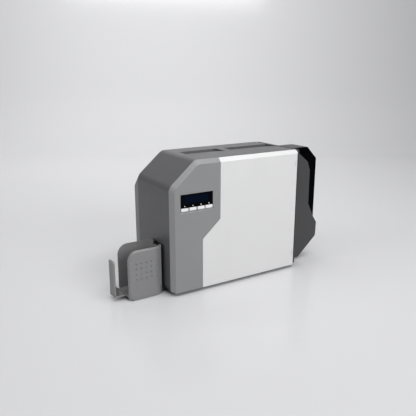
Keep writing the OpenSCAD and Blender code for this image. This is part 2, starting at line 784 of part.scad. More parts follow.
// Weight that rides on the card stack, guided by the cheeks' ribs
module card_weight() {
    x0 = end_x + in_wall + 1.5;
    x1 = case_l + 84;
    z0 = path_z + gap;
    color([0.6, 0.6, 0.62]) at_origin() {
        span([x0, lane_y0 + gap, z0], [x1, lane_y1 - gap, z0 + 9]);
        along_y(path_y - 14, path_y + 14) polygon(rounded([[x0 + 22, z0 + 8.9], [x1 - 22, z0 + 8.9],
            [x1 - 26, z0 + 24], [x0 + 26, z0 + 24]], [0, 0, 5, 5]));
    }
}

// Black bracket on the output end: frames the card exit and holds the output hopper on two rails
module hopper_bracket() {
    plate_x = -out_gap + 0.3;
    color([0.05, 0.05, 0.05]) at_origin() {
        difference() {
            span([plate_x, lane_y0 - 3, out_floor_z], [0, lane_y1 + 3, slot_z1 + 2.4]);
            span([plate_x - 1, lane_y0, slot_z0 - 0.6], [1, lane_y1, slot_z1]);
        }
        for (y = rail_ys) span([plate_x - rail_t, y, 24], [plate_x + 0.1, y + rail_w, rail_top]);
        span([-20, lane_y0 + 1, 3], [plate_x + 0.1, lane_y1 - 1, out_floor_z + out_floor_t - 0.3]);
    }
}

// Output hopper: bevelled side walls, floor, back wall that hangs on the rails, and the card stop
module output_hopper() {
    side = [[out_x0, out_z], [out_x1, out_z], [out_x1, out_top], [out_x0, out_top]];
    radii = [9, 2, 4, out_r];
    floor_top = out_floor_z + out_floor_t;
    back_x = out_x1 - 6;
    color([0.5, 0.5, 0.5]) at_origin() {
        difference() {
            hull() {
                for (y = [out_y0, out_y1 - 0.01]) along_y(y, y + 0.01)
                    polygon(rounded(inset_by(side, [0, 0, out_bevel, out_bevel]),
                        [for (r = radii) max(r - out_bevel / 2, 1)]));
                along_y(out_y0 + out_bevel, out_y1 - out_bevel) polygon(rounded(side, radii));
            }
            // Rounded upright edges next to the case
            difference() {
                span([out_x1 - out_heel_r, out_y0 - 1, 0], [out_x1 + 1, out_y1 + 1, out_top + 1]);
                linear_extrude(out_top + 1) polygon(rounded([[out_x0, out_y0], [out_x1, out_y0],
                    [out_x1, out_y1], [out_x0, out_y1]], [0, out_heel_r, out_heel_r, 0], 8));
            }
            // Sensor hole near the top of the far wall
            bar_y([out_x1 - 47, out_top - 7], 2, out_y1 - out_wall - 1, out_y1 + 1);
            // Card space
            span([out_x0 - 1, lane_y0, floor_top], [back_x, lane_y1, out_top + 1]);
            span([out_x0 - 1, lane_y0, out_z - 1], [-21, lane_y1, out_floor_z]);
            span([-21, lane_y0, out_z - 1], [out_x1 + 1, lane_y1, floor_top + 0.2]);
            span([back_x - 1, lane_y0, back_wall_z], [out_x1 + 1, lane_y1, out_top + 1]);
            // Cut-out round the bracket's foot
            along_y(out_y0 - 1, out_y1 + 1) polygon(rounded([[-22, out_z - 1], [out_x1 + 1, out_z - 1],
                [out_x1 + 1, 22], [-22, 22]], [0, 0, 0, 12]));
            for (y = rail_ys) span([-out_gap - rail_t, y - 0.4, out_z - 1],
                [out_x1 + 1, y + rail_w + 0.4, rail_top + 0.3]);
        }
        // Tongue and card stop
        span([stop_x, path_y - stop_w / 2 - 2, out_floor_z],
            [out_x0 + 2, path_y + stop_w / 2 + 2, floor_top]);
        along_x(stop_x, stop_x + stop_t) polygon(rounded([[path_y - stop_w / 2, out_floor_z],
            [path_y + stop_w / 2, out_floor_z], [path_y + stop_w / 2, out_floor_z + stop_h],
            [path_y - stop_w / 2, out_floor_z + stop_h]], [1, 1, 5, 5]));
        for (y = [path_y - stop_w / 2 + 1, path_y + stop_w / 2 - 3.5]) along_y(y, y + 2.5)
            polygon([[stop_x + stop_t - 0.1, floor_top - 0.1], [out_x0, floor_top - 0.1],
                [stop_x + stop_t - 0.1, floor_top + 22]]);
    }
}

// Steel plate that carries the mechanism, folded at its foot
module chassis_plate() {
    outline = inset_by(case_corners, [wall, wall + 1, 11, 6, wall + 1]);
    color([0.62, 0.63, 0.65]) at_origin() {
        difference() {
            along_y(chassis_y, chassis_back) polygon(rounded(outline, [bottom_r, bottom_r, 4, 20, 20]));
            for (at = shafts) bar_y(at, bush_r, chassis_y - 1, chassis_back + 1);
            for (at = direct_at) bar_y(at, 6, chassis_y - 1, chassis_back + 1);
            for (at = [platen_at, head_at]) bar_y(at, bush_r, chassis_y - 1, chassis_back + 1);
            bar_y(motor_at, 11, chassis_y - 1, chassis_back + 1);
            for (x = [40 : 40 : case_l - 40]) bar_y([x, 30], 6, chassis_y - 1, chassis_back + 1);
        }
        span([30, chassis_back - 0.1, case_lift + wall], [case_l - 30, chassis_back + 16,
            case_lift + wall + plate_t]);
    }
}

// Side plate of the card path, in front of the rollers
module path_front_plate() {
    low = path_z - 37.6;
    high = path_z + 54.4;
    outline = [[18, low], [case_l - 5, low], [case_l - 5, high], [118, high], [96, high - 14],
        [18, high - 14]];
    color([0.66, 0.67, 0.69]) at_origin() difference() {
        along_y(front_plate_y, front_plate_y + plate_t) polygon(rounded(outline, [6, 6, 10, 10, 10, 6]));
        for (at = front_shafts) bar_y(at, bush_r, front_plate_y - 1, front_plate_y + plate_t + 1);
        for (k = [0 : 2]) bar_y([heat_x + 35 + 30 * k, heat_at[1] + 6], 8, front_plate_y - 1,
            front_plate_y + plate_t + 1);
    }
}
module frame_spacers() {
    color([0.72, 0.72, 0.74]) at_origin() for (at = spacer_at)
        bar_y(at, 4, front_plate_y + plate_t, chassis_y);
    color([0.72, 0.72, 0.74]) at_origin() for (at = rear_post_at) difference() {
        bar_y(at, rear_post_r, chassis_back, case_d - wall - 0.1);
        bar_y(at, screw_r, case_d - wall - 12, case_d);
    }
}

// Flanged bushes of all path shafts, in both plates
module shaft_bearings() {
    color([0.8, 0.68, 0.4]) at_origin() {
        for (at = front_shafts) difference() {
            union() {
                bar_y(at, bush_r, front_plate_y - 0.5, front_plate_y + plate_t);
                bar_y(at, bush_flange_r, front_plate_y - 2, front_plate_y);
            }
            bar_y(at, shaft_r + fit, front_plate_y - 3, front_plate_y + plate_t + 1);
        }
        for (at = concat(shafts, [platen_at, head_at])) difference() {
            union() {
                bar_y(at, bush_r, chassis_y, chassis_back + 0.5);
                bar_y(at, bush_flange_r, chassis_back, chassis_back + 1.5);
            }
            bar_y(at, shaft_r + fit, chassis_y - 1, chassis_back + 2);
        }
    }
}

// Moulded cover below the card path
module inner_cover() {
    outline = [[seam_lower_x + 6, case_lift + wall], [case_l - 8, case_lift + wall], [case_l - 8, 100],
        [seam_lower_x + 6, 100]];
    color([0.12, 0.12, 0.13]) at_origin() {
        difference() {
            along_y(inner_cover_y, inner_cover_y + 2.5) polygon(rounded(outline, [2, 2, 6, 6]));
            for (x = [120 : 14 : case_l - 40])
                span([x, inner_cover_y - 1, 40], [x + 6, inner_cover_y + 4, 76]);
        }
        span([seam_lower_x + 12, inner_cover_y + 2.4, 94], [case_l - 14, front_plate_y, 97]);
    }
}

path_rollers = [[entry_x, drive_r, pinch_r], [clean_x, 0, clean_r], [mid_x, drive_r, pinch_r],
    [heat_x, backup_r, heat_r]];
// Guide plates below and above the card, with windows for the rollers
module card_guides() {
    x0 = flip_x + flip_r + 6;
    x1 = case_l - wall - 2;
    y0 = front_plate_y + plate_t;
    color([0.18, 0.18, 0.19]) at_origin() {
        difference() {
            span([x0, y0, path_z - 2.7], [x1, chassis_y, path_z - 0.7]);
            for (p = path_rollers) if (p[1] > 0) span([p[0] - p[1] - 1, y0 + 3, path_z - 4],
                [p[0] + p[1] + 1, chassis_y - 8, path_z]);
        }
        difference() {
            span([x0, y0, path_z + card_t + 0.8], [x1, chassis_y, path_z + card_t + 2.4]);
            for (p = path_rollers) span([p[0] - p[2] - 1, y0 + 3, path_z + card_t],
                [p[0] + p[2] + 1, chassis_y - 8, path_z + card_t + 4]);
        }
    }
}

// Roller with a rubber sleeve on a steel shaft; the shaft may carry a toothed pulley
module path_roller(at, r, pulley = false) {
    bar_y(at, shaft_r, front_plate_y - 1, pulley ? chassis_back + 12 : chassis_back + 1);
    bar_y(at, r, lane_y0 + 1, lane_y1 - 1);
    if (pulley) toothed_pulley(at);
}
belt_y0 = chassis_back + 3;
belt_w = 6;
module toothed_pulley(at) {
    teeth = 24;
    translate([at[0], 0, at[1]]) along_y(belt_y0 + 0.5, belt_y0 + belt_w - 0.5) difference() {
        circle(r = belt_r, $fn = 48);
        for (i = [0 : teeth - 1]) rotate(i * 360 / teeth) translate([belt_r, 0]) circle(r = 0.6, $fn = 16);
    }
    bar_y(at, belt_r + 1.2, belt_y0 - 1, belt_y0 - 0.3);
}
module entry_roller() { color([0.15, 0.15, 0.16]) at_origin() path_roller(entry_at, drive_r, true); }
module entry_pinch_roller() { color([0.5, 0.5, 0.52]) at_origin() path_roller(entry_pinch_at, pinch_r); }
module cleaning_roller() { color([0.25, 0.45, 0.7]) at_origin() path_roller(clean_at, clean_r); }
module mid_roller() { color([0.15, 0.15, 0.16]) at_origin() path_roller(mid_at, drive_r, true); }
module mid_pinch_roller() { color([0.5, 0.5, 0.52]) at_origin() path_roller(mid_pinch_at, pinch_r); }
module backup_roller() { color([0.35, 0.1, 0.08]) at_origin() path_roller(backup_at, backup_r); }
module heat_roller() { color([0.75, 0.75, 0.77]) at_origin() path_roller(heat_at, heat_r); }

disc_t = 2.5;
flip_y0 = front_plate_y + plate_t + 1.2;
flip_y1 = 2 * path_y - flip_y0;
flip_low_at = [flip_x, card_mid_z - card_t / 2 - pinch_r];
flip_high_at = [flip_x, card_mid_z + card_t / 2 + pinch_r];
// Flipper: two discs joined by the card guides, turning about the card's middle
module flipper_frame() {
    color([0.22, 0.22, 0.24]) at_origin() difference() {
        union() {
            for (y = [flip_y0, flip_y1 - disc_t]) bar_y(flip_at, flip_r, y, y + disc_t);
            for (s = [-1, 1]) for (x = [-34, 10])
                translate([flip_x + x, flip_y0 + 0.1, card_mid_z + s * 3.5 - 1])
                    cube([24, flip_y1 - flip_y0 - 0.2, 2]);
            bar_y(flip_at, shaft_r, front_plate_y - 1, flip_y0 + 1);
            bar_y(flip_at, shaft_r, flip_y1 - 1, chassis_back + spindle_l);
        }
        for (at = [flip_low_at, flip_high_at])
            bar_y(at, 2 + fit, flip_y0 - 0.01, flip_y1 + 0.01);
        for (y = [flip_y0 - 1, flip_y1 - disc_t - 1]) for (a = [45 : 90 : 315])
            bar_y(flip_at + 27 * [cos(a), sin(a)], 8, y, y + disc_t + 2);
    }
}
module flipper_pinch(at) {
    color([0.15, 0.15, 0.16]) at_origin() {
        bar_y(at, 2, flip_y0 + 0.2, flip_y1 - 0.2);
        bar_y(at, pinch_r, lane_y0 + 1, lane_y1 - 1);
    }
}
module flipper_roller_lower() { flipper_pinch(flip_low_at); }
module flipper_roller_upper() { flipper_pinch(flip_high_at); }

// Square stepper motor in front of or behind a plate, with a bore for its spindle
module stepper(at, w, y0, y1, bore_r) {
    h = w / 2;
    difference() {
        along_y(y0, y1) polygon(rounded([at + [-h, -h], at + [h, -h], at + [h, h], at + [-h, h]],
            [4, 4, 4, 4], 3));
        bar_y(at, bore_r, y0 - 1, y1 + 1);
    }
}
module motor_pulley() {
    color([0.7, 0.7, 0.72]) at_origin() {
        bar_y(motor_at, shaft_r, chassis_y - feed_motor_l + 1, belt_y0 + belt_w + 2);
        toothed_pulley(motor_at);
    }
}

belt_at = [motor_at, entry_at, mid_at];
belt_t = 1.4;
// Filled loop round the three pulleys, at radius r
module belt_loop(r) {
    for (at = belt_at) translate(at) circle(r = r, $fn = 48);
    polygon([for (i = [0 : 2]) for (k = [0, 1])
        let (a = belt_at[i], b = belt_at[(i + 1) % 3]) (k == 0 ? a : b) - r * left_of(a, b)]);
}
module drive_belt() {
    color([0.06, 0.06, 0.06]) at_origin() along_y(belt_y0, belt_y0 + belt_w) difference() {
        belt_loop(belt_r + gap + belt_t);
        belt_loop(belt_r + gap);
    }
}

cassette_y0 = 35;
cassette_t = 2.5;
cassette_y1 = 110.5;
// Cassette frame: two side plates with hub holes, joined by bars and held on studs
module cassette(outline, radii, hubs, bars) {
    difference() {
        union() for (y = [cassette_y0, cassette_y1 - cassette_t])
            along_y(y, y + cassette_t) polygon(rounded(outline, radii));
        for (at = hubs) bar_y(at, hub_r + gap, cassette_y0 - 1, cassette_y1 + 1);
    }
    for (at = bars) bar_y(at, 3.5, cassette_y0 + 1, chassis_y);
}
bar_inset = 8;
module film_cassette() {
    x = film_x + [bar_inset, -bar_inset];
    z = [cassette_z0 + bar_inset, cassette_z1 - bar_inset];
    color([0.1, 0.1, 0.11]) at_origin() cassette([[film_x[0], cassette_z0], [film_x[1], cassette_z0],
        [film_x[1], cassette_z1], [film_x[0], cassette_z1]], [14, 14, 14, 14],
        [film_supply_at, film_takeup_at],
        [[x[0], z[0]], [x[1], z[0]], [x[1], z[1]], [x[0], z[1]], [x[1], (z[0] + film_supply_at[1]) / 2 - 6]]);
}
notch_d = 16;
notch_h = [26, 40];
module ribbon_cassette() {
    x = ribbon_x;
    nip = platen_at[1];
    bar = [ribbon_x[0] + 6, ribbon_x[1] - 6, cassette_z0 + 6, cassette_z1 - 6];
    color([0.1, 0.1, 0.11]) at_origin() cassette([[x[0], cassette_z0], [x[1], cassette_z0],
        [x[1], cassette_z1], [x[0], cassette_z1], [x[0], nip + notch_h[1]],
        [x[0] + notch_d, nip + notch_h[0]], [x[0] + notch_d, nip - notch_h[0]], [x[0], nip - notch_h[1]]],
        [8, 12, 12, 8, 4, 8, 8, 4], [ribbon_supply_at, ribbon_takeup_at],
        [[bar[0], bar[2]], [bar[1], bar[2]], [bar[1], bar[3]], [bar[0], bar[3]]]);
}

// Spool: a roll of film between two hubs, with a cross-shaped drive end and a spindle
module spool(at, r) {
    bar_y(at, r, lane_y0, lane_y1);
    difference() {
        bar_y(at, hub_r, cassette_y0 - 2, cassette_y1 + 1);
        bar_y(at, 5, cassette_y0 - 3, cassette_y0 + 4);
    }
    for (a = [0, 90]) translate([at[0], 0, at[1]]) along_y(cassette_y0 - 1, cassette_y0 + 4.5)
        rotate(a) square([10.4, 1.6], center = true);
    bar_y(at, shaft_r, cassette_y1, chassis_back + spindle_l);
}
module film_supply_spool() { color([0.55, 0.5, 0.6]) at_origin() spool(film_supply_at, film_supply_r); }
module film_takeup_spool() { color([0.55, 0.5, 0.6]) at_origin() spool(film_takeup_at, film_takeup_r); }
module ribbon_supply_spool() { color([0.25, 0.2, 0.3]) at_origin() spool(ribbon_supply_at, ribbon_supply_r); }
module ribbon_takeup_spool() { color([0.25, 0.2, 0.3]) at_origin() spool(ribbon_takeup_at, ribbon_takeup_r); }

module platen_roller() {
    color([0.14, 0.14, 0.15]) at_origin() {
        bar_y(platen_at, shaft_r, lane_y0 - 4, chassis_back + 1);
        bar_y(platen_at, platen_r, lane_y0 + 1, lane_y1 - 1);
    }
}

// Print head: a finned bar on two arms that swing about one shaft
module print_head() {
    tip_x = platen_at[0] + platen_r + 4;
    z = platen_at[1];
    color([0.7, 0.71, 0.73]) at_origin() {
        bar_y(head_at, shaft_r, lane_y0 - 4, chassis_back + 1);
        for (y = [lane_y0 - 3, lane_y1 + 0.5]) along_y(y, y + 2.5) polygon(rounded([[tip_x + 3, z - 7],
            [tip_x + 14, z - 7], head_at + [5, -4], head_at + [4, 5], head_at + [-5, 3],
            [tip_x + 3, z + 8]], [1, 2, 3, 3, 3, 2]));
        along_y(lane_y0 - 2.9, lane_y1 + 2.9) polygon([[tip_x, z - 1], [tip_x + 3, z - 5],
            [tip_x + 6, z - 5], [tip_x + 6, z + 5], [tip_x + 3, z + 5], [tip_x, z + 1]]);
        for (y = [lane_y0 + 1 : 5 : lane_y1 - 3])
            span([tip_x + 5.9, y, z - 5], [tip_x + 13, y + 1.6, z + 5]);
    }
}

// Motors of the card feed, the flipper, the four spools and the pick-up roller
module stepper_motors() {
    color([0.16, 0.16, 0.17]) at_origin() {
        for (at = direct_at) stepper(at, motor_w, chassis_back, chassis_back + motor_l, shaft_r + fit);
        stepper(motor_at, motor_w, chassis_y - feed_motor_l, chassis_y, shaft_r + fit);
        pickup_stepper();
    }
}

board_x = [84, case_l - 100];
board_z = [path_z + 42.4, case_top - 40.7];
main_y = 168;
module main_board() {
    face = main_y + 1.5;
    corners = [for (x = [board_x[0] + 5, board_x[1] - 5]) for (z = [board_z[0] + 5, board_z[1] - 5]) [x, z]];
    color([0.06, 0.32, 0.17]) at_origin() {
        span([board_x[0], main_y, board_z[0]], [board_x[1], main_y + 1.6, board_z[1]]);
        for (at = corners) bar_y(at, 3, chassis_back, main_y + 0.1);
        // Processor under a finned heat sink, socket, memory, backup cell and capacitors
        translate([board_x[0] + 56, face, board_z[0] + 54]) cube([28, 4.5, 28]);
        for (k = [0 : 6]) translate([board_x[0] + 56 + 4.4 * k, face + 4.4, board_z[0] + 54])
            cube([1.6, 9, 28]);
        translate([board_x[0] + 106, face, board_z[0] + 30]) cube([40, 6.5, 10]);
        for (k = [0, 1]) translate([board_x[0] + 110 + 30 * k, face, board_z[0] + 64]) cube([22, 2.5, 16]);
        bar_y([board_x[0] + 184, board_z[0] + 36], 10, face, face + 3.6);
        for (k = [0 : 2]) bar_y([board_x[0] + 16 + 14 * k, board_z[1] - 16], 5, face, main_y + 14);
        // Row of open wire connectors along the lower edge
        for (k = [0 : 5]) translate([board_x[0] + 22 + 29 * k, face, board_z[0] + 6]) difference() {
            cube([20, 8, 9]);
            translate([1.2, 1.5, 1.2]) cube([17.6, 8, 6.6]);
        }
    }
}
supply_x = [case_l - 240, case_l - 110];
supply_y = [chassis_back + 18, mid_y - 4.9];
supply_h = 60;
// Power supply in its sheet box: air slots in the front, a row of screw terminals on the top
module power_supply() {
    z0 = case_lift + wall;
    z1 = z0 + supply_h;
    color([0.68, 0.69, 0.7]) at_origin() {
        difference() {
            span([supply_x[0], supply_y[0], z0], [supply_x[1], supply_y[1], z1]);
            for (x = [supply_x[0] + 10 : 12 : supply_x[1] - 16])
                span([x, supply_y[0] - 1, z0 + 14], [x + 6, supply_y[0] + 2, z1 - 12]);
            span([supply_x[0] + 8, supply_y[0] + 8, z1 - 8], [supply_x[0] + 62, supply_y[0] + 20, z1 + 1]);
        }
        for (k = [0 : 5]) bar_up([supply_x[0] + 13 + 8.8 * k, supply_y[0] + 14], 3, z1 - 8.1, z1 - 5);
    }
}

// Screws that hold the rear cover to its posts, with cross slots
module case_screws() {
    color([0.75, 0.75, 0.77]) at_origin() for (at = rear_post_at) difference() {
        union() {
            bar_y(at, screw_r, case_d - wall - 9, case_d - 1.5);
            bar_y(at, 3.3, case_d - 1.6, case_d - 0.2);
        }
        for (a = [45, 135]) translate([at[0], 0, at[1]]) along_y(case_d - 0.9, case_d)
            rotate(a) square([4, 0.8], center = true);
    }
}

fan_y0 = case_d - wall - 20;
fan_hub_r = 11;
// Fan housing with a ring, three struts and a bearing boss
module cooling_fan() {
    h = fan_w / 2;
    color([0.07, 0.07, 0.07]) at_origin() {
        difference() {
            along_y(fan_y0, case_d - wall) polygon(rounded([fan_at + [-h, -h], fan_at + [h, -h],
                fan_at + [h, h], fan_at + [-h, h]], [5, 5, 5, 5], 4));
            bar_y(fan_at, h - 1.5, fan_y0 - 1, case_d);
            for (a = [45 : 90 : 315]) bar_y(fan_at + 35.4 * [cos(a), sin(a)], 2, fan_y0 - 1, case_d);
        }
        difference() {
            union() {
                bar_y(fan_at, fan_hub_r, case_d - wall - 3, case_d - wall);
                for (a = [30, 150, 270]) translate([fan_at[0], 0, fan_at[1]])
                    along_y(case_d - wall - 3, case_d - wall) rotate(a) translate([0, -1.5])
                        square([h - 1, 3]);
            }
            bar_y(fan_at, 2 + fit, case_d - wall - 4, case_d - wall - 0.5);
        }
    }
}
module fan_rotor() {
    blades = 7;
    color([0.1, 0.1, 0.1]) at_origin() {
        bar_y(fan_at, fan_hub_r, fan_y0 + 1, case_d - wall - 3 - gap);
        bar_y(fan_at, 2, fan_y0 + 2, case_d - wall - 0.8);
        for (i = [0 : blades - 1]) translate([fan_at[0], fan_y0 + 9, fan_at[1]])
            rotate([0, i * 360 / blades, 0]) rotate([38, 0, 0]) translate([fan_hub_r - 1, -0.6, -8])
                cube([fan_w / 2 - 3.4 - fan_hub_r, 1.2, 16]);
    }
}

// Power inlet and switch in one housing behind the rear cover
module power_unit() {
    color([0.07, 0.07, 0.07]) at_origin() difference() {
        union() {
            span([rocker_at[0] - 12, case_d - 26, inlet_at[1] - 15],
                [inlet_at[0] + 20, case_d - wall, inlet_at[1] + 15]);
            span([inlet_at[0] - 14, case_d - wall - 0.1, inlet_at[1] - 10],
                [inlet_at[0] + 14, case_d, inlet_at[1] + 10]);
        }
        span([inlet_at[0] - 12, case_d - 18, inlet_at[1] - 8], [inlet_at[0] + 12, case_d + 1,
            inlet_at[1] + 8]);
        span([rocker_at[0] - 6.5, case_d - 18, rocker_at[1] - 9.5], [rocker_at[0] + 6.5, case_d + 1,
            rocker_at[1] + 9.5]);
    }
}
rocker_tilt = 7;
module power_rocker() {
    at = [0, case_d - 8, rocker_at[1]];
    color([0.05, 0.05, 0.05]) at_origin() translate([rocker_at[0], at[1], at[2]])
        rotate([-rocker_tilt, 0, 0]) union() {
            along_x(-6, 6) polygon(rounded([[-1, -8], [6, -8.5], [4, 0], [6, 8.5], [-1, 8]],
                [2, 1.5, 8, 1.5, 2], 4));
            rotate([0, 90, 0]) translate([0, 0, -6.4]) cylinder(r = 1.5, h = 12.8, $fn = 24);
        }
}
module data_sockets() {
    color([0.7, 0.71, 0.72]) at_origin() difference() {
        union() {
            span([usb_at[0] - 6.5, case_d - 18, usb_at[1] - 6],
                [usb_at[0] + 6.5, case_d - 0.5, usb_at[1] + 6]);
            span([lan_at[0] - 8.5, case_d - 20, lan_at[1] - 7],
                [lan_at[0] + 8.5, case_d - 0.5, lan_at[1] + 7]);
        }
        span([usb_at[0] - 4.5, case_d - 12, usb_at[1] - 4], [usb_at[0] + 4.5, case_d, usb_at[1] + 4]);
        span([lan_at[0] - 6, case_d - 14, lan_at[1] - 5], [lan_at[0] + 6, case_d, lan_at[1] + 4]);
    }
}

base_pan();
rubber_feet();
mid_shell();
rear_cover();
display_panel();
display_window();
lcd_module();
key_board();
button_1();
button_2();
button_3();
button_4();
side_door();
door_strike();
door_magnet();
hinge_brackets();
hinge_pins();
end_frame();
hopper_housing();
hopper_cover();
card_weight();
pickup_roller();
pickup_pinion();
hopper_bracket();
output_hopper();
chassis_plate();
path_front_plate();
frame_spacers();
inner_cover();
card_guides();
shaft_bearings();
entry_roller();
entry_pinch_roller();
cleaning_roller();
mid_roller();
mid_pinch_roller();
backup_roller();
heat_roller();
flipper_frame();
flipper_roller_lower();
flipper_roller_upper();
stepper_motors();
motor_pulley();
drive_belt();
film_cassette();
film_supply_spool();
film_takeup_spool();
ribbon_cassette();
ribbon_supply_spool();
ribbon_takeup_spool();
platen_roller();
print_head();
main_board();
power_supply();
cooling_fan();
fan_rotor();
power_unit();
power_rocker();
data_sockets();
case_screws();
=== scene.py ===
"""Looks of the ID card printer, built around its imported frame."""
import json
import math

import bmesh
import bpy
from mathutils import Matrix, Vector


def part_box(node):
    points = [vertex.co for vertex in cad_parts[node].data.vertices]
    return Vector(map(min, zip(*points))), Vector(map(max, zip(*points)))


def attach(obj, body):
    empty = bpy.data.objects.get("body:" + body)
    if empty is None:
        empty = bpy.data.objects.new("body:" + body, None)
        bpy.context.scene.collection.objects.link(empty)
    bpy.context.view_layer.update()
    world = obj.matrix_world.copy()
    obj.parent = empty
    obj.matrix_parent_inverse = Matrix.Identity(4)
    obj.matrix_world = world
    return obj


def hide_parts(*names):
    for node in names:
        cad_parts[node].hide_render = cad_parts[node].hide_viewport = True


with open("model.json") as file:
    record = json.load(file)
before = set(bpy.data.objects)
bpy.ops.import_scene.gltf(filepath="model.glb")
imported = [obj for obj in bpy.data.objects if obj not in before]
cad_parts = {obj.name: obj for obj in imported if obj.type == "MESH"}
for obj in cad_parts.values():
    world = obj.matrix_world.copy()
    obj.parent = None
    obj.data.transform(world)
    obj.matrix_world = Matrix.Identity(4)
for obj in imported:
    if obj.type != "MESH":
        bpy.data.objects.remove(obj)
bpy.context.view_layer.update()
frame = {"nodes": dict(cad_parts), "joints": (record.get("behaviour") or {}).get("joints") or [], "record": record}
BODY_OF = {node: body for body, nodes in frame["record"]["behaviour"]["bodies"].items() for node in nodes}
SLOT_OF = {part["node"]: part["material_slot"] for part in frame["record"]["subparts"]}
JOINT_AT = {joint["name"]: Vector(joint["pos_m"]) for joint in frame["joints"] if "pos_m" in joint}
MM = 0.001


# ---------------------------------------------------------------- shader kit
def feed(slot, value):
    """Links a socket to a node's input, or sets the input's own value."""
    if isinstance(value, Sock):
        value.tree.links.new(value.socket, slot)
    elif slot.type == "RGBA":
        slot.default_value = (*value, 1.0)
    else:
        slot.default_value = value


class Sock:
    """An output of a shader node; arithmetic on it adds Math nodes."""

    def __init__(self, tree, socket):
        self.tree = tree
        self.socket = socket

    def math(self, operation, *values):
        """A Math node whose inputs take the values in the order given."""
        node = self.tree.nodes.new("ShaderNodeMath")
        node.operation = operation
        for slot, value in zip(node.inputs, values):
            feed(slot, value)
        return Sock(self.tree, node.outputs[0])

    def __add__(self, other):
        return self.math("ADD", self, other)

    def __sub__(self, other):
        return self.math("SUBTRACT", self, other)

    def __rsub__(self, other):
        return self.math("SUBTRACT", other, self)

    def __mul__(self, other):
        return self.math("MULTIPLY", self, other)

    def __pow__(self, other):
        return self.math("POWER", self, other)

    __radd__ = __add__
    __rmul__ = __mul__

    def above(self, edge):
        return self.math("GREATER_THAN", self, edge)

    def below(self, edge):
        return self.math("LESS_THAN", self, edge)

    def fraction(self):
        return self.math("FRACT", self)

    def clamped(self):
        return self.math("MINIMUM", self.math("MAXIMUM", self, 0.0), 1.0)


class Finish:
    """A material being made: its node tree, its surface shader and short ways to add nodes."""

    def __init__(self, name):
        self.material = bpy.data.materials.new(name)
        self.material.use_nodes = True
        self.tree = self.material.node_tree
        self.shader = self.tree.nodes["Principled BSDF"]
        self.place = self.add("ShaderNodeTexCoord", out="Object")

    def add(self, kind, settings=None, sockets=None, out=0):
        """Any node: its type, its settings, the values or links of its inputs, and the output to use."""
        node = self.tree.nodes.new(kind)
        for name, value in (settings or {}).items():
            setattr(node, name, value)
        for name, value in (sockets or {}).items():
            feed(node.inputs[name], value)
        return Sock(self.tree, node.outputs[out])

    def mapped(self, **sockets):
        return self.add("ShaderNodeMapping", sockets={"Vector": self.place, **sockets})

    def noise(self, per_metre, detail=3.0, stretch=None):
        vector = self.mapped(Scale=stretch) if stretch else self.place
        return self.add("ShaderNodeTexNoise", sockets={"Vector": vector, "Scale": per_metre,
                                                       "Detail": detail, "Roughness": 0.55})

    def cells(self, per_metre, randomness, out):
        return self.add("ShaderNodeTexVoronoi", {"feature": "F1"},
                        {"Vector": self.place, "Scale": per_metre, "Randomness": randomness}, out)

    def axis(self, name):
        return self.add("ShaderNodeSeparateXYZ", sockets={"Vector": self.place}, out=name)

    def radius(self, joint):
        """Distance from the axis of a joint that turns about Y, in metres."""
        centre = JOINT_AT[joint]
        return ((self.axis("X") - centre.x) ** 2.0 + (self.axis("Z") - centre.z) ** 2.0) ** 0.5

    def mix(self, factor, first, second):
        """Colour between first and second, by the Mix node's inputs 6 and 7 and its output 2 for colours."""
        return self.add("ShaderNodeMix", {"data_type": "RGBA"}, {0: factor, 6: first, 7: second}, out=2)

    def set(self, **values):
        """Sets sockets of the surface shader; base_color sets "Base Color", and so on."""
        for name, value in values.items():
            feed(self.shader.inputs[name.replace("_", " ").title().replace("Ior", "IOR")], value)

    def bump(self, height, depth_mm):
        self.set(normal=self.add("ShaderNodeBump", sockets={"Height": height, "Distance": depth_mm * MM},
                                 out="Normal"))


def shade(colour, gain):
    return tuple(min(1.0, channel * gain) for channel in colour)


# ---------------------------------------------------------------- finishes of the slots
GEAR_ACETAL = (0.72, 0.68, 0.54)


def grained_plastic(name, colour, roughness):
    """Moulded plastic with a fine spark-eroded grain and slow colour drift."""
    f = Finish(name)
    grain_mm = 0.55
    drift = f.noise(9.0, 4.0)
    grain = f.noise(1.0 / (grain_mm * MM), 2.0)
    speck = f.noise(620.0, 2.0)
    tone = f.mix(drift, shade(colour, 0.95), shade(colour, 1.05))
    f.set(base_color=f.mix((speck - 0.5) * 0.5 + 0.25, tone, shade(colour, 0.9)),
          roughness=roughness + (drift - 0.5) * 0.14 + (grain - 0.5) * 0.1)
    f.bump(grain + speck * 0.6, 0.03)
    return f.material


def satin_plastic(name, colour, roughness):
    """Smooth satin moulding: faint flow marks and handling haze."""
    f = Finish(name)
    flow = f.noise(14.0, 3.0, stretch=(1.0, 1.0, 0.35))
    haze = f.noise(60.0, 5.0)
    fine = f.noise(2600.0, 2.0)
    f.set(base_color=f.mix(flow, shade(colour, 0.975), shade(colour, 1.02)),
          roughness=roughness + (haze - 0.5) * 0.16)
    f.bump(fine + flow * 0.5, 0.012)
    return f.material


def gloss_plastic(name, colour, roughness):
    """Polished plastic with finger haze and hairline marks."""
    f = Finish(name)
    haze = f.noise(35.0, 5.0)
    lines = f.noise(900.0, 2.0, stretch=(0.08, 1.0, 1.0))
    f.set(base_color=f.mix(haze, shade(colour, 0.85), shade(colour, 1.25)),
          roughness=roughness + (haze - 0.5).clamped() * 0.25 + (lines - 0.62).clamped() * 0.3,
          specular_ior_level=0.03)
    f.bump(haze, 0.02)
    return f.material


def rubber(name, colour):
    """Dull black rubber, a little mottled."""
    f = Finish(name)
    mottling = f.noise(180.0, 4.0)
    fine = f.noise(1900.0, 2.0)
    f.set(base_color=f.mix(mottling, shade(colour, 0.75), shade(colour, 1.4)),
          roughness=0.72 + (mottling - 0.5) * 0.2)
    f.bump(fine, 0.04)
    return f.material


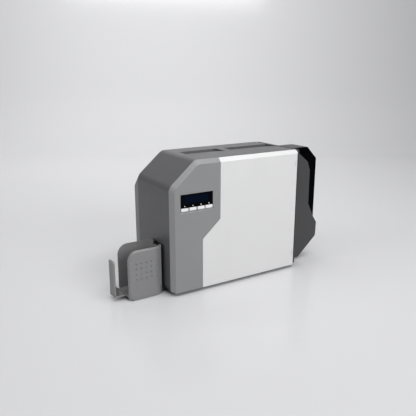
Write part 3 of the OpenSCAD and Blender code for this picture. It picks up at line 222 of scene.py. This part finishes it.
def brushed_metal(name, colour, roughness):
    """Ground or drawn metal with fine lines along Y."""
    f = Finish(name)
    lines = f.noise(1400.0, 3.0, stretch=(1.0, 0.03, 1.0))
    stain = f.noise(22.0, 4.0)
    f.set(base_color=f.mix(lines * 0.6 + stain * 0.4, shade(colour, 0.78), shade(colour, 1.12)),
          metallic=1.0, roughness=roughness + (lines - 0.5) * 0.25 + (stain - 0.5) * 0.1)
    f.bump(lines, 0.012)
    return f.material


def zinc_sheet(name, colour):
    """Zinc-plated sheet with a faint spangle."""
    f = Finish(name)
    spangle = f.cells(190.0, 1.0, "Color")
    value = f.add("ShaderNodeSeparateColor", sockets={"Color": spangle}, out="Red")
    stain = f.noise(16.0, 4.0)
    f.set(base_color=f.mix(value * 0.5 + stain * 0.5, shade(colour, 0.82), shade(colour, 1.1)),
          metallic=1.0, roughness=0.38 + (value - 0.5) * 0.16 + (stain - 0.5) * 0.12)
    f.bump(value * 0.3 + f.noise(700.0, 2.0), 0.01)
    return f.material


def display_glass(name, colour, lit):
    """Black window whose clear part shows the liquid crystal display behind it."""
    f = Finish(name)
    low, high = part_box("lcd_module")
    rim, cell, gap = 3.0 * MM, 1.25 * MM, 0.16
    x, z = f.axis("X"), f.axis("Z")
    clear = x.above(low.x + rim) * x.below(high.x - rim) * z.above(low.z + rim) * z.below(high.z - rim)
    columns, rows = [(along * (1.0 / cell)).fraction().above(gap) for along in (x, z)]
    glow = f.noise(22.0, 2.0)
    haze = f.noise(30.0, 4.0)
    dots = f.mix(columns * rows, shade(lit, 0.45), f.mix(glow, shade(lit, 0.75), shade(lit, 1.25)))
    f.set(base_color=f.mix(clear, colour, shade(lit, 0.3)), roughness=0.06 + (haze - 0.5).clamped() * 0.2,
          specular_ior_level=0.03, emission_color=f.mix(clear, (0.0, 0.0, 0.0), dots), emission_strength=1.0)
    f.bump(haze, 0.01)
    return f.material


def lit_screen(name, colour):
    """Dark liquid crystal screen: a dot grid under glass with a faint back light."""
    f = Finish(name)
    columns, rows = [f.add("ShaderNodeTexWave", {"bands_direction": direction, "wave_profile": "SIN"},
                           {"Vector": f.place, "Scale": 260.0}, out="Fac") for direction in ("X", "Z")]
    dots = columns * rows
    f.set(base_color=f.mix(dots, shade(colour, 0.7), shade(colour, 1.3)), roughness=0.12,
          emission_color=f.mix(dots, shade(colour, 0.8), shade(colour, 1.1)), emission_strength=0.35)
    f.bump(dots, 0.01)
    return f.material


FINISHES = {
    "dark_shell": grained_plastic("dark_shell", (0.108, 0.108, 0.112), 0.42),
    "light_shell": grained_plastic("light_shell", (0.142, 0.143, 0.145), 0.44),
    "panel_grey": satin_plastic("panel_grey", (0.252, 0.254, 0.256), 0.38),
    "door_white": satin_plastic("door_white", (0.72, 0.72, 0.72), 0.34),
    "charcoal": satin_plastic("charcoal", (0.048, 0.048, 0.050), 0.40),
    "hopper_grey": grained_plastic("hopper_grey", (0.230, 0.230, 0.233), 0.40),
    "smoked_cover": gloss_plastic("smoked_cover", (0.0004, 0.0004, 0.0007), 0.05),
    "window_black": display_glass("window_black", (0.0015, 0.0015, 0.0017), (0.0006, 0.0027, 0.0095)),
    "screen": lit_screen("screen", (0.004, 0.007, 0.032)),
    "key_white": satin_plastic("key_white", (0.86, 0.86, 0.87), 0.30),
    "black_plastic": grained_plastic("black_plastic", (0.022, 0.022, 0.024), 0.46),
    "foot_rubber": rubber("foot_rubber", (0.02, 0.02, 0.02)),
    "pinch_steel": brushed_metal("pinch_steel", (0.62, 0.62, 0.64), 0.22),
    "sheet_steel": zinc_sheet("sheet_steel", (0.56, 0.58, 0.61)),
    "motor_black": brushed_metal("motor_black", (0.045, 0.045, 0.05), 0.42),
    "magnet_grey": grained_plastic("magnet_grey", (0.05, 0.05, 0.055), 0.5),
    "bush_bronze": brushed_metal("bush_bronze", (0.62, 0.45, 0.2), 0.34),
    "belt_black": rubber("belt_black", (0.018, 0.018, 0.018)),
    "pulley_alloy": brushed_metal("pulley_alloy", (0.7, 0.71, 0.73), 0.26),
    "weight_steel": grained_plastic("weight_steel", (0.06, 0.06, 0.065), 0.4),
    "gear_acetal": satin_plastic("gear_acetal", GEAR_ACETAL, 0.42),
}


# ---------------------------------------------------------------- finishes of pieces in several materials
ROLLER_SHAFT_R, FLIPPER_SHAFT_R = 3.3 * MM, 2.3 * MM
RUBBER, PLATEN_GREY, PULLEY_GREY = (0.028, 0.028, 0.03), (0.05, 0.05, 0.055), (0.5, 0.5, 0.52)
CLEANING_BLUE, BACKUP_RED = (0.03, 0.13, 0.36), (0.22, 0.045, 0.03)
WHEEL_BEHIND_WEIGHT = 0.3 * MM

SPOOL_HUB_R, SPINDLE_R, SPINDLE_STARTS = 8.1 * MM, 3.2 * MM, 74.0 * MM
HUB_GREY, SPINDLE_STEEL = (0.62, 0.62, 0.60), (0.6, 0.6, 0.62)
FILM, FILM_EDGE = (0.42, 0.38, 0.5), (0.6, 0.56, 0.66)
RIBBON, RIBBON_EDGE = (0.03, 0.02, 0.06), (0.16, 0.03, 0.12)

HEAD_ALLOY, HEAD_CERAMIC, HEATER_GLAZE = (0.74, 0.75, 0.77), (0.55, 0.53, 0.48), (0.04, 0.03, 0.03)
CERAMIC_WIDE, HEATER_WIDE = 3.2 * MM, 0.6 * MM

SOLDER_MASK, PAD_GOLD = (0.012, 0.075, 0.035), (0.75, 0.62, 0.34)
DARK_PARTS, PALE_PARTS, PALE_SHARE = (0.018, 0.018, 0.02), (0.72, 0.70, 0.62), 0.14


def sleeved_shaft(node, sleeve, shaft_r=ROLLER_SHAFT_R, roughness=0.6, wheel=None):
    """Ground steel shaft under a sleeve; wheel is the colour of a toothed wheel beside the sleeve."""
    f = Finish(node + "_finish")
    sleeved = f.radius(node + "_spin").above(shaft_r)
    lines = f.noise(1400.0, 3.0, stretch=(1.0, 0.03, 1.0))
    mottling = f.noise(180.0, 4.0)
    steel = f.mix(lines, (0.44, 0.44, 0.46), (0.68, 0.68, 0.70))
    cover = f.mix(mottling, shade(sleeve, 0.75), shade(sleeve, 1.4))
    colour = f.mix(sleeved, steel, cover)
    rough = 0.24 + (lines - 0.5) * 0.2 + sleeved * (roughness - 0.24 + (mottling - 0.5) * 0.15)
    if wheel:
        beside = f.axis("Y").above(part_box("card_weight")[1].y + WHEEL_BEHIND_WEIGHT) * sleeved
        colour = f.mix(beside, colour, f.mix(mottling, shade(wheel, 0.9), shade(wheel, 1.05)))
    f.set(base_color=colour, metallic=1.0 - sleeved, roughness=rough)
    f.bump(f.noise(1900.0, 2.0) * sleeved + lines * 0.2, 0.03)
    return f.material


def loaded_spool(node, roll, edge):
    """Spool: wound film with fine layer lines between moulded hubs, on a steel spindle."""
    f = Finish(node + "_finish")
    across = f.radius(node + "_spin")
    wound = across.above(SPOOL_HUB_R)
    spindle = across.below(SPINDLE_R) * f.axis("Y").above(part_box("film_cassette")[0].y + SPINDLE_STARTS)
    layers = f.add("ShaderNodeTexNoise", {"noise_dimensions": "1D"},
                   {"W": across, "Scale": 4200.0, "Detail": 2.0})
    sheen = f.noise(24.0, 3.0)
    moulded = f.mix(sheen, shade(HUB_GREY, 0.92), shade(HUB_GREY, 1.05))
    colour = f.mix(wound, moulded, f.mix(layers * 0.6 + sheen * 0.4, roll, edge))
    f.set(base_color=f.mix(spindle, colour, SPINDLE_STEEL), metallic=spindle,
          roughness=0.34 - wound * 0.16 + layers * 0.1)
    f.bump(layers * wound, 0.02)
    return f.material


def thermal_head(node):
    """Machined alloy bar with fins; the ceramic strip and its glazed heater line face the platen."""
    f = Finish(node + "_finish")
    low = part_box(node)[0]
    lines = f.noise(1400.0, 3.0, stretch=(0.03, 1.0, 1.0))
    strip = f.axis("X").below(low.x + CERAMIC_WIDE)
    heater = f.axis("X").below(low.x + HEATER_WIDE)
    alloy = f.mix(lines, shade(HEAD_ALLOY, 0.8), shade(HEAD_ALLOY, 1.08))
    ceramic = f.mix(heater, HEAD_CERAMIC, HEATER_GLAZE)
    f.set(base_color=f.mix(strip, alloy, ceramic), metallic=1.0 - strip,
          roughness=0.32 + (lines - 0.5) * 0.2 - strip * 0.12)
    f.bump(lines, 0.012)
    return f.material


def board_with_parts(node, board_side, parts_behind):
    """Circuit board with tracks and pads; past the board's side its parts are dark, or pale at its foot."""
    f = Finish(node + "_finish")
    low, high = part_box(node)
    depth = f.axis("Y")
    parts = depth.above(low.y + board_side) if parts_behind else depth.below(high.y - board_side)
    tracks = f.add("ShaderNodeTexBrick", {"offset": 0.5},
                   {"Vector": f.mapped(Rotation=(math.radians(90), 0.0, 0.0)), "Scale": 60.0,
                    "Mortar Size": 0.018, "Color1": (0.0, 0.0, 0.0), "Color2": (0.2, 0.2, 0.2),
                    "Mortar": (1.0, 1.0, 1.0)}, out="Fac")
    pads = f.cells(240.0, 0.55, "Distance").below(0.16)
    bare = f.mix(pads, f.mix(tracks, SOLDER_MASK, shade(SOLDER_MASK, 1.9)), PAD_GOLD)
    foot = f.axis("Z").below(low.z + (high.z - low.z) * PALE_SHARE)
    f.set(base_color=f.mix(parts, bare, f.mix(foot, DARK_PARTS, PALE_PARTS)),
          metallic=pads * (1.0 - parts) * 0.8, roughness=0.32 + parts * 0.1)
    f.bump((tracks + pads) * (1.0 - parts), 0.03)
    return f.material


NODE_FINISHES = {
    "pickup_roller": sleeved_shaft("pickup_roller", RUBBER, wheel=GEAR_ACETAL),
    "entry_roller": sleeved_shaft("entry_roller", RUBBER, wheel=PULLEY_GREY),
    "mid_roller": sleeved_shaft("mid_roller", RUBBER, wheel=PULLEY_GREY),
    "cleaning_roller": sleeved_shaft("cleaning_roller", CLEANING_BLUE, roughness=0.3),
    "backup_roller": sleeved_shaft("backup_roller", BACKUP_RED, roughness=0.5),
    "platen_roller": sleeved_shaft("platen_roller", PLATEN_GREY, roughness=0.5),
    "flipper_roller_lower": sleeved_shaft("flipper_roller_lower", RUBBER, FLIPPER_SHAFT_R),
    "flipper_roller_upper": sleeved_shaft("flipper_roller_upper", RUBBER, FLIPPER_SHAFT_R),
    "film_supply_spool": loaded_spool("film_supply_spool", FILM, FILM_EDGE),
    "film_takeup_spool": loaded_spool("film_takeup_spool", FILM, FILM_EDGE),
    "ribbon_supply_spool": loaded_spool("ribbon_supply_spool", RIBBON, RIBBON_EDGE),
    "ribbon_takeup_spool": loaded_spool("ribbon_takeup_spool", RIBBON, RIBBON_EDGE),
    "print_head": thermal_head("print_head"),
    "main_board": board_with_parts("main_board", 49.7 * MM, parts_behind=True),
    "key_board": board_with_parts("key_board", 1.62 * MM, parts_behind=False),
}


def dress(obj, slot, node=None):
    """Gives an object its node's own finish, or else its slot's."""
    obj.data.materials.clear()
    obj.data.materials.append(NODE_FINISHES.get(node) or FINISHES[slot])


for node, obj in frame["nodes"].items():
    dress(obj, SLOT_OF[node], node)


# ---------------------------------------------------------------- mesh helpers
def linked(name, data):
    """An object for new data, linked to the scene."""
    obj = bpy.data.objects.new(name, data)
    bpy.context.scene.collection.objects.link(obj)
    return obj


def mesh_object(bm, name):
    """A finished bmesh as an object, whose place is in its mesh."""
    mesh = bpy.data.meshes.new(name)
    bm.to_mesh(mesh)
    bm.free()
    return linked(name, mesh)


def smooth(mesh, degrees):
    """Smooth shading, with edges sharper than the angle kept sharp."""
    for face in mesh.polygons:
        face.use_smooth = True
    mesh.set_sharp_from_angle(angle=math.radians(degrees))


def keep_flats_flat(obj):
    """Large flat faces keep their own normal, so only the narrow rounded edges shade round."""
    weighting = obj.modifiers.new("flats", "WEIGHTED_NORMAL")
    weighting.mode = "FACE_AREA"
    weighting.weight = 100
    weighting.keep_sharp = True


def as_piece(bm, name, body, slot, degrees):
    """Turns a finished bmesh into a piece that rides on a body and has a slot's finish."""
    obj = mesh_object(bm, name)
    smooth(obj.data, degrees)
    dress(obj, slot)
    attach(obj, body)
    return obj


def reshape(piece, change):
    """Runs a change on a piece's own mesh."""
    bm = bmesh.new()
    bm.from_mesh(piece.data)
    change(bm)
    bm.to_mesh(piece.data)
    bm.free()


def carve(piece, tool, operation):
    """Cuts or joins a piece with a second mesh, which is then gone."""
    joint = piece.modifiers.new(operation, "BOOLEAN")
    joint.operation, joint.solver, joint.object = operation, "EXACT", tool
    bpy.context.view_layer.update()
    result = bpy.data.meshes.new_from_object(piece.evaluated_get(bpy.context.evaluated_depsgraph_get()))
    piece.modifiers.remove(joint)
    piece.data = result
    bpy.data.objects.remove(tool)


def block(low, high):
    """A box between two corners, as a tool for carve."""
    low, high = Vector(low), Vector(high)
    bm = bmesh.new()
    bmesh.ops.create_cube(bm, size=1.0)
    bmesh.ops.scale(bm, vec=high - low, verts=bm.verts)
    bmesh.ops.translate(bm, vec=(low + high) / 2, verts=bm.verts)
    return mesh_object(bm, "block")


def extruded_verts(result):
    """The new vertices among what an extrude operator returns."""
    return [v for v in result["geom"] if isinstance(v, bmesh.types.BMVert)]


# ---------------------------------------------------------------- mouldings with rounded edges
WELD, FLAT_WITHIN, SHARP_FROM = 0.03 * MM, math.radians(0.6), math.radians(28)
CHAMFERED = ("mid_shell", "display_panel", "rear_cover")
CHAMFER_SHORTER, CHAMFER_HIGHER = 13.3 * MM, 5.4 * MM
# Where the points to move lie, along the case from its output end and down from its top.
TOP_ENDS_ALONG, TOP_ENDS_DOWN = (60 * MM, 116 * MM), 20 * MM
LOWER_END_ALONG, LOWER_END_DOWN = 19 * MM, (55 * MM, 90 * MM)
REAR_CUT_FROM, REAR_CUT_ALONG, REAR_CUT_DOWN = 20 * MM, 34.0 * MM, 28.8 * MM


def shift_chamfer(bm, node):
    """Moves the corner chamfer's ends and the top recess's near end; the rear cover's back is cut deeper."""
    low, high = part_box("mid_shell")
    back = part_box("rear_cover")[0].y + REAR_CUT_FROM
    for v in bm.verts:
        along, down = v.co.x - low.x, high.z - v.co.z
        deep = 1.0 if node == "rear_cover" and v.co.y > back else 0.0
        if TOP_ENDS_ALONG[0] < along < TOP_ENDS_ALONG[1] and down < TOP_ENDS_DOWN:
            v.co.x += REAR_CUT_ALONG * deep - CHAMFER_SHORTER
        elif along < LOWER_END_ALONG and LOWER_END_DOWN[0] < down < LOWER_END_DOWN[1]:
            v.co.z += CHAMFER_HIGHER - REAR_CUT_DOWN * deep


def merged_copy(node):
    """A CAD node's mesh as a welded bmesh with its flat faces joined."""
    bm = bmesh.new()
    bm.from_mesh(frame["nodes"][node].data)
    bmesh.ops.remove_doubles(bm, verts=bm.verts, dist=WELD)
    if node in CHAMFERED:
        shift_chamfer(bm, node)
    bmesh.ops.dissolve_limit(bm, angle_limit=FLAT_WITHIN, use_dissolve_boundaries=False,
                             verts=bm.verts, edges=bm.edges)
    return bm


def round_edges(bm, edges, offset):
    bmesh.ops.bevel(bm, geom=edges, offset=offset, segments=2, profile=0.5, affect="EDGES",
                    offset_type="OFFSET", clamp_overlap=True, material=-1)


def softened(node, edge_mm):
    """A CAD node redrawn with rounded edges, standing in for the node."""
    bm = merged_copy(node)
    sharp = [e for e in bm.edges if len(e.link_faces) == 2 and e.calc_face_angle(0.0) > SHARP_FROM]
    round_edges(bm, sharp, edge_mm * MM)
    piece = as_piece(bm, node + "_moulding", BODY_OF[node], SLOT_OF[node], 60)
    keep_flats_flat(piece)
    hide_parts(node)


SOFT_EDGES = {
    "mid_shell": 0.8, "rear_cover": 0.8, "display_panel": 0.8, "side_door": 0.8, "end_frame": 0.8,
    "hopper_housing": 0.6, "hopper_cover": 0.7, "hopper_bracket": 0.4,
    "base_pan": 0.5, "button_1": 0.4, "button_2": 0.4, "button_3": 0.4, "button_4": 0.4,
    "card_weight": 0.6, "film_cassette": 0.4, "ribbon_cassette": 0.4, "power_unit": 0.4,
    "inner_cover": 0.4, "rubber_feet": 0.8,
}
for node, edge_mm in SOFT_EDGES.items():
    softened(node, edge_mm)


# ---------------------------------------------------------------- output hopper
HOPPER_LENGTH, HOPPER_WALL, NEAR_SIDE_OUT, CORE_OVERLAP = 99.5 * MM, 5.7 * MM, 5.0 * MM, 0.4 * MM
HEEL_R, HEEL_TURN, HEEL_GAP = 32.0 * MM, math.radians(58), 1.0 * MM
HEEL_REACH = HEEL_R * math.sin(HEEL_TURN) + HEEL_GAP
HEEL_INWARD = HEEL_R * (1 - math.cos(HEEL_TURN))
TOP_CORNER, LOWER_CORNER, CORNER_STEPS, SIDE_WELD = 27.0 * MM, 12.0 * MM, 12, 0.01 * MM
RIM_BEVEL, RIM_ENDS, RIM_SHARP = 4.0 * MM, 3.6 * MM, math.radians(50)
BROW_ROUND, BROW_BLUNT, BROW_SHARP = 0.5 * MM, math.radians(20), math.radians(60)
STOP_RISE, STOP_FROM, STOP_TOP_FROM = 10.0 * MM, 20 * MM, 70 * MM
DIMPLES_ALONG, DIMPLES_UP, DIMPLE_PITCH = 5, 4, 13.7 * MM
DIMPLE_R, DIMPLE_OUT, FIRST_ALONG, FIRST_UP = 2.5 * MM, 0.6 * MM, 24 * MM, 54 * MM
SENSOR_R, SENSOR_DEEP, SENSOR_ALONG, SENSOR_DOWN = 2.2 * MM, 5.0 * MM, 44.5 * MM, 7 * MM


def above_floor(bm, low):
    """The edges of a side that don't lie along the hopper's floor."""
    return [e for e in bm.edges if e.verts[0].co.z + e.verts[1].co.z > 2 * low.z + MM]


def hopper_side(low, high):
    """Near side wall: a flat sheet with large front corners, whose end turns in towards the case.

    A flat bevel runs round its outer skin, and the brow between bevel and skin is rounded.
    """
    front, turn = high.x - HOPPER_LENGTH, high.x - HEEL_REACH
    bm = bmesh.new()
    outline = [bm.verts.new(p) for p in ((front, low.y, low.z), (turn, low.y, low.z),
                                         (turn, low.y, high.z), (front, low.y, high.z))]
    bm.faces.new(outline)
    heel = bm.edges.get((outline[1], outline[2]))
    bmesh.ops.spin(bm, geom=[heel, outline[1], outline[2]], cent=(turn, low.y + HEEL_R, 0.0),
                   axis=(0.0, 0.0, 1.0), angle=HEEL_TURN, steps=CORNER_STEPS, use_merge=False)
    for corner, radius in ((outline[3], TOP_CORNER), (outline[0], LOWER_CORNER)):
        bmesh.ops.bevel(bm, geom=[corner], offset=radius, segments=CORNER_STEPS, profile=0.5,
                        affect="VERTICES", material=-1)
    bmesh.ops.remove_doubles(bm, verts=bm.verts, dist=SIDE_WELD)
    bmesh.ops.recalc_face_normals(bm, faces=bm.faces)
    if bm.faces[0].normal.y > 0:
        bmesh.ops.reverse_faces(bm, faces=bm.faces)
    skin = {tuple(round(c, 6) for c in v.co) for v in bm.verts}
    bmesh.ops.solidify(bm, geom=bm.faces[:], thickness=HOPPER_WALL)
    bmesh.ops.recalc_face_normals(bm, faces=bm.faces)
    rim = [e for e in above_floor(bm, low) if e.calc_face_angle(0.0) > RIM_SHARP
           and min(v.co.x for v in e.verts) < high.x - RIM_ENDS
           and all(tuple(round(c, 6) for c in v.co) in skin for v in e.verts)]
    bmesh.ops.bevel(bm, geom=rim, offset=RIM_BEVEL, segments=1, profile=0.5, affect="EDGES",
                    offset_type="OFFSET", clamp_overlap=False, material=-1)
    brow = [e for e in above_floor(bm, low) if BROW_BLUNT < e.calc_face_angle(0.0) < BROW_SHARP]
    round_edges(bm, brow, BROW_ROUND)
    return bm


def mirrored(bm, middle):
    """A copy of a side on the other side of the hopper's middle."""
    other = bm.copy()
    bmesh.ops.translate(other, vec=(0.0, -middle, 0.0), verts=other.verts)
    bmesh.ops.scale(other, vec=(1.0, -1.0, 1.0), verts=other.verts)
    bmesh.ops.translate(other, vec=(0.0, middle, 0.0), verts=other.verts)
    bmesh.ops.reverse_faces(other, faces=other.faces)
    return other


def dimple_tool(low, high):
    """Tool for the grid of round dimples in the near side and for the sensor's hole in the far one."""
    bm = bmesh.new()
    for i in range(DIMPLES_ALONG):
        for k in range(DIMPLES_UP):
            place = (high.x - FIRST_ALONG - i * DIMPLE_PITCH, low.y - NEAR_SIDE_OUT - DIMPLE_OUT,
                     low.z + FIRST_UP + k * DIMPLE_PITCH)
            bmesh.ops.create_icosphere(bm, subdivisions=3, radius=DIMPLE_R, matrix=Matrix.Translation(place))
    turn = Matrix.Rotation(math.radians(90), 4, "X")
    place = Matrix.Translation((high.x - SENSOR_ALONG, high.y - HOPPER_WALL, high.z - SENSOR_DOWN))
    bmesh.ops.create_cone(bm, cap_ends=True, segments=24, radius1=SENSOR_R, radius2=SENSOR_R,
                          depth=SENSOR_DEEP, matrix=place @ turn)
    return mesh_object(bm, "dimples")


def cut_heels(bm, low, high):
    """Trims the hopper's core along the turned ends of its sides."""
    for face, inward in ((low.y, 1.0), (high.y, -1.0)):
        bmesh.ops.bisect_plane(bm, geom=bm.verts[:] + bm.edges[:] + bm.faces[:], clear_outer=True,
                               plane_co=(high.x - HEEL_GAP, face + inward * HEEL_INWARD, 0.0),
                               plane_no=(math.sin(HEEL_TURN), -inward * math.cos(HEEL_TURN), 0.0))
        bmesh.ops.holes_fill(bm, edges=[e for e in bm.edges if e.is_boundary], sides=0)


def widen_near_half(bm, low, high):
    """Stretches the core's near half out to the side that stands further out."""
    middle = (low.y + high.y) / 2
    for v in bm.verts:
        v.co.y -= NEAR_SIDE_OUT * max(0.0, (middle - v.co.y) / (middle - low.y - HOPPER_WALL))


def output_hopper():
    """Output hopper: its own floor, stop and hooks between two bent, bevelled and dimpled sides."""
    low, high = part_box("output_hopper")
    bm = merged_copy("output_hopper")
    stop_top = [v for v in bm.verts if v.co.x < high.x - HOPPER_LENGTH - STOP_FROM
                and v.co.z > low.z + STOP_TOP_FROM]
    bmesh.ops.translate(bm, vec=(0.0, 0.0, STOP_RISE), verts=stop_top)
    piece = as_piece(bm, "output_hopper_moulding", BODY_OF["output_hopper"], SLOT_OF["output_hopper"], 60)
    inset = HOPPER_WALL - CORE_OVERLAP
    carve(piece, block((low.x - MM, low.y + inset, low.z - MM), (high.x + MM, high.y - inset, high.z + MM)),
          "INTERSECT")
    reshape(piece, lambda bm: cut_heels(bm, low, high))
    reshape(piece, lambda bm: widen_near_half(bm, low, high))
    near = hopper_side(low, high)
    far = mirrored(near, (low.y + high.y) / 2)
    bmesh.ops.translate(near, vec=(0.0, -NEAR_SIDE_OUT, 0.0), verts=near.verts)
    carve(piece, mesh_object(near, "near_side"), "UNION")
    carve(piece, mesh_object(far, "far_side"), "UNION")
    carve(piece, dimple_tool(low, high), "DIFFERENCE")
    smooth(piece.data, 40)
    keep_flats_flat(piece)
    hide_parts("output_hopper")


output_hopper()


# ---------------------------------------------------------------- signs on the window
SIGN_R, SIGN_THICK, SIGN_ABOVE_EDGE = 1.7 * MM, 0.15 * MM, 4.2 * MM
# Each sign's corners, its turn in degrees and the width of its band as a share of its radius, 0 if full.
SIGNS = ((3, 90, 0.0), (3, -90, 0.0), (20, 0, 0.4), (4, 45, 0.0))


def key_signs():
    """Four plain signs on the window, one above each key: two triangles, a ring and a square."""
    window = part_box("display_window")
    stand = Matrix.Rotation(math.radians(90), 4, "X")
    for number, (corners, turn, band) in enumerate(SIGNS, 1):
        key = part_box("button_%d" % number)
        place = ((key[0].x + key[1].x) / 2, window[0].y, window[0].z + SIGN_ABOVE_EDGE)
        bm = bmesh.new()
        bmesh.ops.create_circle(bm, cap_ends=True, radius=SIGN_R, segments=corners,
                                matrix=Matrix.Rotation(math.radians(turn), 4, "Z"))
        if band:
            plate = bm.faces[:]
            bmesh.ops.inset_region(bm, faces=plate, thickness=SIGN_R * band, use_boundary=True)
            bmesh.ops.delete(bm, geom=plate, context="FACES")
        raised = bmesh.ops.extrude_face_region(bm, geom=bm.faces[:])
        bmesh.ops.translate(bm, vec=(0.0, 0.0, SIGN_THICK), verts=extruded_verts(raised))
        bmesh.ops.recalc_face_normals(bm, faces=bm.faces)
        bmesh.ops.transform(bm, matrix=Matrix.Translation(place) @ stand, verts=bm.verts)
        as_piece(bm, "key_sign_%d" % number, BODY_OF["display_window"], "key_white", 32)


key_signs()


# ---------------------------------------------------------------- stage
CAMERA_AT, CAMERA_LENS = (-0.73779, -1.16685, 0.55982), 43.7
CAMERA_TILT, CAMERA_TURN = math.radians(90.0 - 15.335), math.radians(-31.806)
SWEEP_NEAR, SWEEP_WALL, SWEEP_HIGH, SWEEP_WIDE, SWEEP_BEND = -6.0, 3.6, 5.0, 18.0, 1.6


def floor_and_backdrop():
    """Pale sweep, square to the camera: a floor that turns up into a wall behind the object."""
    bm = bmesh.new()
    row = [bm.verts.new((-SWEEP_WIDE / 2, y, z)) for y, z in ((SWEEP_NEAR, 0.0), (SWEEP_WALL, 0.0),
                                                              (SWEEP_WALL, SWEEP_HIGH))]
    edges = [bm.edges.new(pair) for pair in zip(row, row[1:])]
    swept = bmesh.ops.extrude_edge_only(bm, edges=edges)
    bmesh.ops.translate(bm, vec=(SWEEP_WIDE, 0.0, 0.0), verts=extruded_verts(swept))
    bmesh.ops.bevel(bm, geom=[e for e in bm.edges if len(e.link_faces) == 2], offset=SWEEP_BEND,
                    segments=12, profile=0.5, affect="EDGES", material=-1)
    bmesh.ops.rotate(bm, cent=(0, 0, 0), matrix=Matrix.Rotation(CAMERA_TURN, 3, "Z"), verts=bm.verts)
    bmesh.ops.recalc_face_normals(bm, faces=bm.faces)
    obj = mesh_object(bm, "sweep")
    smooth(obj.data, 180)
    f = Finish("sweep")
    f.set(base_color=(0.70, 0.70, 0.71), roughness=f.noise(6.0, 2.0) * 0.06 + 0.16, specular_ior_level=0.35)
    obj.data.materials.append(f.material)


def area_light(name, place, target, size, watts):
    light = bpy.data.lights.new(name, "AREA")
    light.shape = "RECTANGLE"
    light.size, light.size_y = size
    light.energy = watts
    obj = linked(name, light)
    obj.location = place
    obj.rotation_euler = (Vector(target) - Vector(place)).to_track_quat("-Z", "Y").to_euler()


def studio():
    """Softboxes round the object, a wash of light on the backdrop and a pale surround."""
    floor_and_backdrop()
    area_light("top_softbox", (-0.1, -0.5, 2.0), (0.0, 0.0, 0.2), (2.4, 1.2), watts=15.0)
    area_light("edge_strip", (0.11, -0.95, 2.0), (-0.17, 0.0, 0.2), (2.4, 0.35), watts=12.0)
    area_light("front_softbox", (0.45, -3.0, 1.4), (0.0, 0.0, 0.2), (2.0, 1.4), watts=47.0)
    area_light("side_fill", (-2.3, 0.15, 1.9), (0.0, 0.0, 0.15), (1.2, 1.2), watts=13.0)
    area_light("wall_wash", (0.1, 1.35, 2.6), (1.0, 3.2, 0.9), (2.8, 0.8), watts=62.0)
    world = bpy.data.worlds.new("studio")
    world.use_nodes = True
    world.node_tree.nodes["Background"].inputs["Color"].default_value = (0.86, 0.87, 0.90, 1.0)
    world.node_tree.nodes["Background"].inputs["Strength"].default_value = 0.19
    bpy.context.scene.world = world
    bpy.context.scene.view_settings.view_transform = "Standard"


def camera():
    """Looks down at the output end and the door."""
    data = bpy.data.cameras.new("camera")
    data.sensor_width = 36.0
    data.lens = CAMERA_LENS
    obj = linked("camera", data)
    obj.location = CAMERA_AT
    obj.rotation_euler = (CAMERA_TILT, 0.0, CAMERA_TURN)
    bpy.context.scene.camera = obj


studio()
camera()
